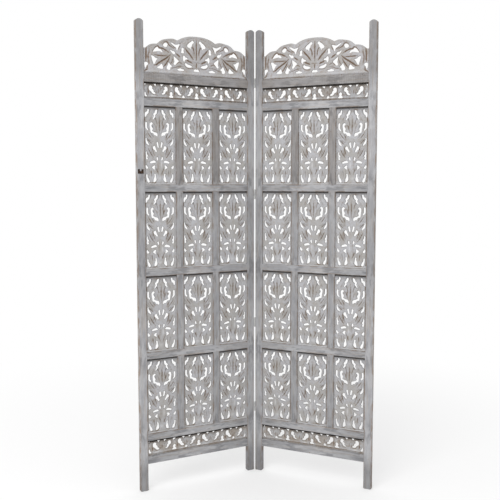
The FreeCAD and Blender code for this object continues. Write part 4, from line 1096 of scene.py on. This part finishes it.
# Over the lobes from the right shoulder to the left one, then along the foot. A point that two
# lobes share is taken once.
right_top = [(far, shoulder)]
for lobe in lobes[::-1]:
    right_top += [tuple(p) for p in lobe[::-1] if tuple(p) != right_top[-1]]
left_top = [(-x, z) for x, z in right_top[-2::-1]]
ends = straight_points(((near, shoulder), (near, crest_foot_gap), (far, crest_foot_gap),
                        (far, shoulder)), closed=False)
crest_outline = np.array(right_top + left_top + ends[1:].tolist())
crest_loops = mirrored_loops(CREST_SHARES.values(), inner_half, crest_rise)
crest_loops.append(smooth_loop(scaled(CREST_MIDDLE_SHARES, inner_half, crest_rise)))
crest_cuts = [(width * crest_cut_widening, depth, min(brown * crest_staining, most_brown), line)
              for width, depth, brown, line in mirrored_cuts(CREST_GROOVES, inner_half, crest_rise)]
# The joint with the rail is browner towards the hinges.
foot_level = crest_foot_gap + 1 * MM
turning = -0.1 * inner_half
for start, end, brown in ((near, turning, 1.1), (turning, far, 0.35)):
    crest_cuts.append(straight_cut(2.6, 0.3, brown, (start, foot_level), (end, foot_level)))
crest_tongues = ((-inner_half - reach, near, side_foot, crest_end_rise - edge_gap, 0.6, 1.2),
                 (far, inner_half + reach, side_foot, crest_end_rise - edge_gap, 0.6, 1.2),
                 (near, far, -reach, crest_foot_gap, 0.3, 0.0))
crest_mesh = carved_mesh("crest", crest_outline, crest_loops, crest_cuts, crest_tongues, seed=31,
                         roll=1.1 * MM, shade_outline=True, bands=(("pale", 12 * MM, 5 * MM, 0.4),))
crest_material = washed_carving("washed_crest", "#ACABAD", "#A19E9B", "#6F5D4E", "#7D7774",
                                worn="#978980", mottled=0.6)
for side in LEAVES:
    set_row(side, "crest_carving", crest_mesh, 1, 0.0, (stile_width + inner_half, 0, crest_level),
            1.5 * MM, crest_material, "carved_crest")

# The hinges: small steel butt hinges, screwed on before the wash and painted over with it, and
# rubbed bare in places at the knuckles.


def patchy_metal(name, base, layers, strength, distance, metallic=0.0):
    """Metal with an uneven coat: painted over, or darkened and rubbed."""
    material, tree, shader = new_material(name)
    place = add(tree, "ShaderNodeTexCoord").outputs["Object"]
    colour, found = wash_layers(tree, place, 0, base, layers)
    shader.inputs["Metallic"].default_value = metallic
    finish(tree, shader, colour, 0.5, found[0], strength, distance)
    return material


# Brushed-on wash over steel: satin, patchy, a little greyer than the wood, with brown spots.
painted_steel = patchy_metal("painted_steel", "#BCBCBA",
                             ((6, 6, 3.0, 2.2, 0.42, 0.62, 1.0, "#A2A3A4"),
                              (6, 6, 3.0, 2.2, 0.68, 0.74, 1.0, "#6F6459")), 0.3, 0.2 * MM)
hinge_parts = [name for name in frame["nodes"] if name.startswith("hinge_")]
paint(hinge_parts + ["left_hinge_screws", "right_hinge_screws"], painted_steel)

# The catch plate on the left leaf's outer stile: thin darkened brass, pressed and notched, held
# by two small screws. It is nearly black brown, with warm metal at the rubbed spots.

dark_brass = patchy_metal("darkened_brass", "#2B211B",
                          ((4, 4, 3.0, 6.1, 0.45, 0.7, 1.0, "#59412F"),), 0.2, 0.1 * MM,
                          metallic=0.6)
paint(["catch_plate", "catch_screws"], dark_brass)

# The studio: a white floor that runs out of sight into a white ground, one broad soft lamp over
# the front, and even light from all round.


def seen_directly(tree):
    """1 for what the camera sees, itself or in a gloss, and 0 for light that bounces."""
    rays = add(tree, "ShaderNodeLightPath").outputs
    return combine(tree, rays["Is Camera Ray"], rays["Is Glossy Ray"], "MAXIMUM")


floor_half = 12.0
floor_mesh = bpy.data.meshes.new("floor")
floor_mesh.from_pydata([(-floor_half, -floor_half, 0), (floor_half, -floor_half, 0),
                        (floor_half, floor_half, 0), (-floor_half, floor_half, 0)], [],
                       [(0, 1, 2, 3)])
floor = bpy.data.objects.new("floor", floor_mesh)
bpy.context.scene.collection.objects.link(floor)
floor_material, tree, shader = new_material("white_paper")
shader.inputs["Base Color"].default_value = linear("#F4F4F4")
shader.inputs["Roughness"].default_value = 0.9
shader.inputs["Specular IOR Level"].default_value = 0.0
# Near the screen the floor is mostly paper, which takes its shadow, and further off plain white.
white_share_near = 0.35
white_from, white_full = 0.5, 2.4
place = add(tree, "ShaderNodeTexCoord").outputs["Object"]
away = add(tree, "ShaderNodeVectorMath", {0: place, 1: (0.0, 0.2, 0.0)}, operation="DISTANCE")
fade = combine(tree, between(tree, away.outputs["Value"], white_from, white_full),
               1 - white_share_near)
fade = combine(tree, fade, white_share_near, "ADD")
white = add(tree, "ShaderNodeEmission", {"Color": (1, 1, 1, 1), "Strength": 1.0})
mixed = add(tree, "ShaderNodeMixShader", {0: combine(tree, fade, seen_directly(tree)),
                                          1: shader.outputs[0], 2: white.outputs[0]})
tree.links.new(mixed.outputs[0], tree.nodes["Material Output"].inputs["Surface"])
floor_mesh.materials.append(floor_material)

scene = bpy.context.scene
scene.view_settings.view_transform = "Standard"
world = bpy.data.worlds.new("studio")
scene.world = world
world.use_nodes = True
tree = world.node_tree
surround = tree.nodes["Background"]
surround.inputs["Color"].default_value = (1, 1, 1, 1)
surround.inputs["Strength"].default_value = 0.92
ground = add(tree, "ShaderNodeBackground", {"Color": (1, 1, 1, 1), "Strength": 1.0})
both = add(tree, "ShaderNodeMixShader", {0: seen_directly(tree), 1: surround.outputs[0],
                                         2: ground.outputs[0]})
tree.links.new(both.outputs[0], tree.nodes["World Output"].inputs["Surface"])

lamp_place = Vector((-1.6, -3.2, 3.4))
lamp_aim = Vector((0, 0, 1.0))
lamp_data = bpy.data.lights.new("front_lamp", "AREA")
lamp_data.size = 2.4
lamp_data.energy = 75
lamp = bpy.data.objects.new("front_lamp", lamp_data)
lamp.location = lamp_place
lamp.rotation_euler = (lamp_aim - lamp_place).to_track_quat("-Z", "Y").to_euler()
scene.collection.objects.link(lamp)

# The view that the sizes were worked out from: above the screen's middle, looking slightly down.
camera_data = bpy.data.cameras.new("camera")
camera_data.lens = 55.05
camera_data.sensor_width = 36.0
camera = bpy.data.objects.new("camera", camera_data)
camera_turn = math.radians(-1.435)
camera_tilt = math.radians(90 - 5.04)
camera.location = (-0.0988, hinge_axis.y - 3.1571, 1.2157)
camera.rotation_euler = (camera_tilt, 0, camera_turn)
scene.collection.objects.link(camera)
scene.camera = camera
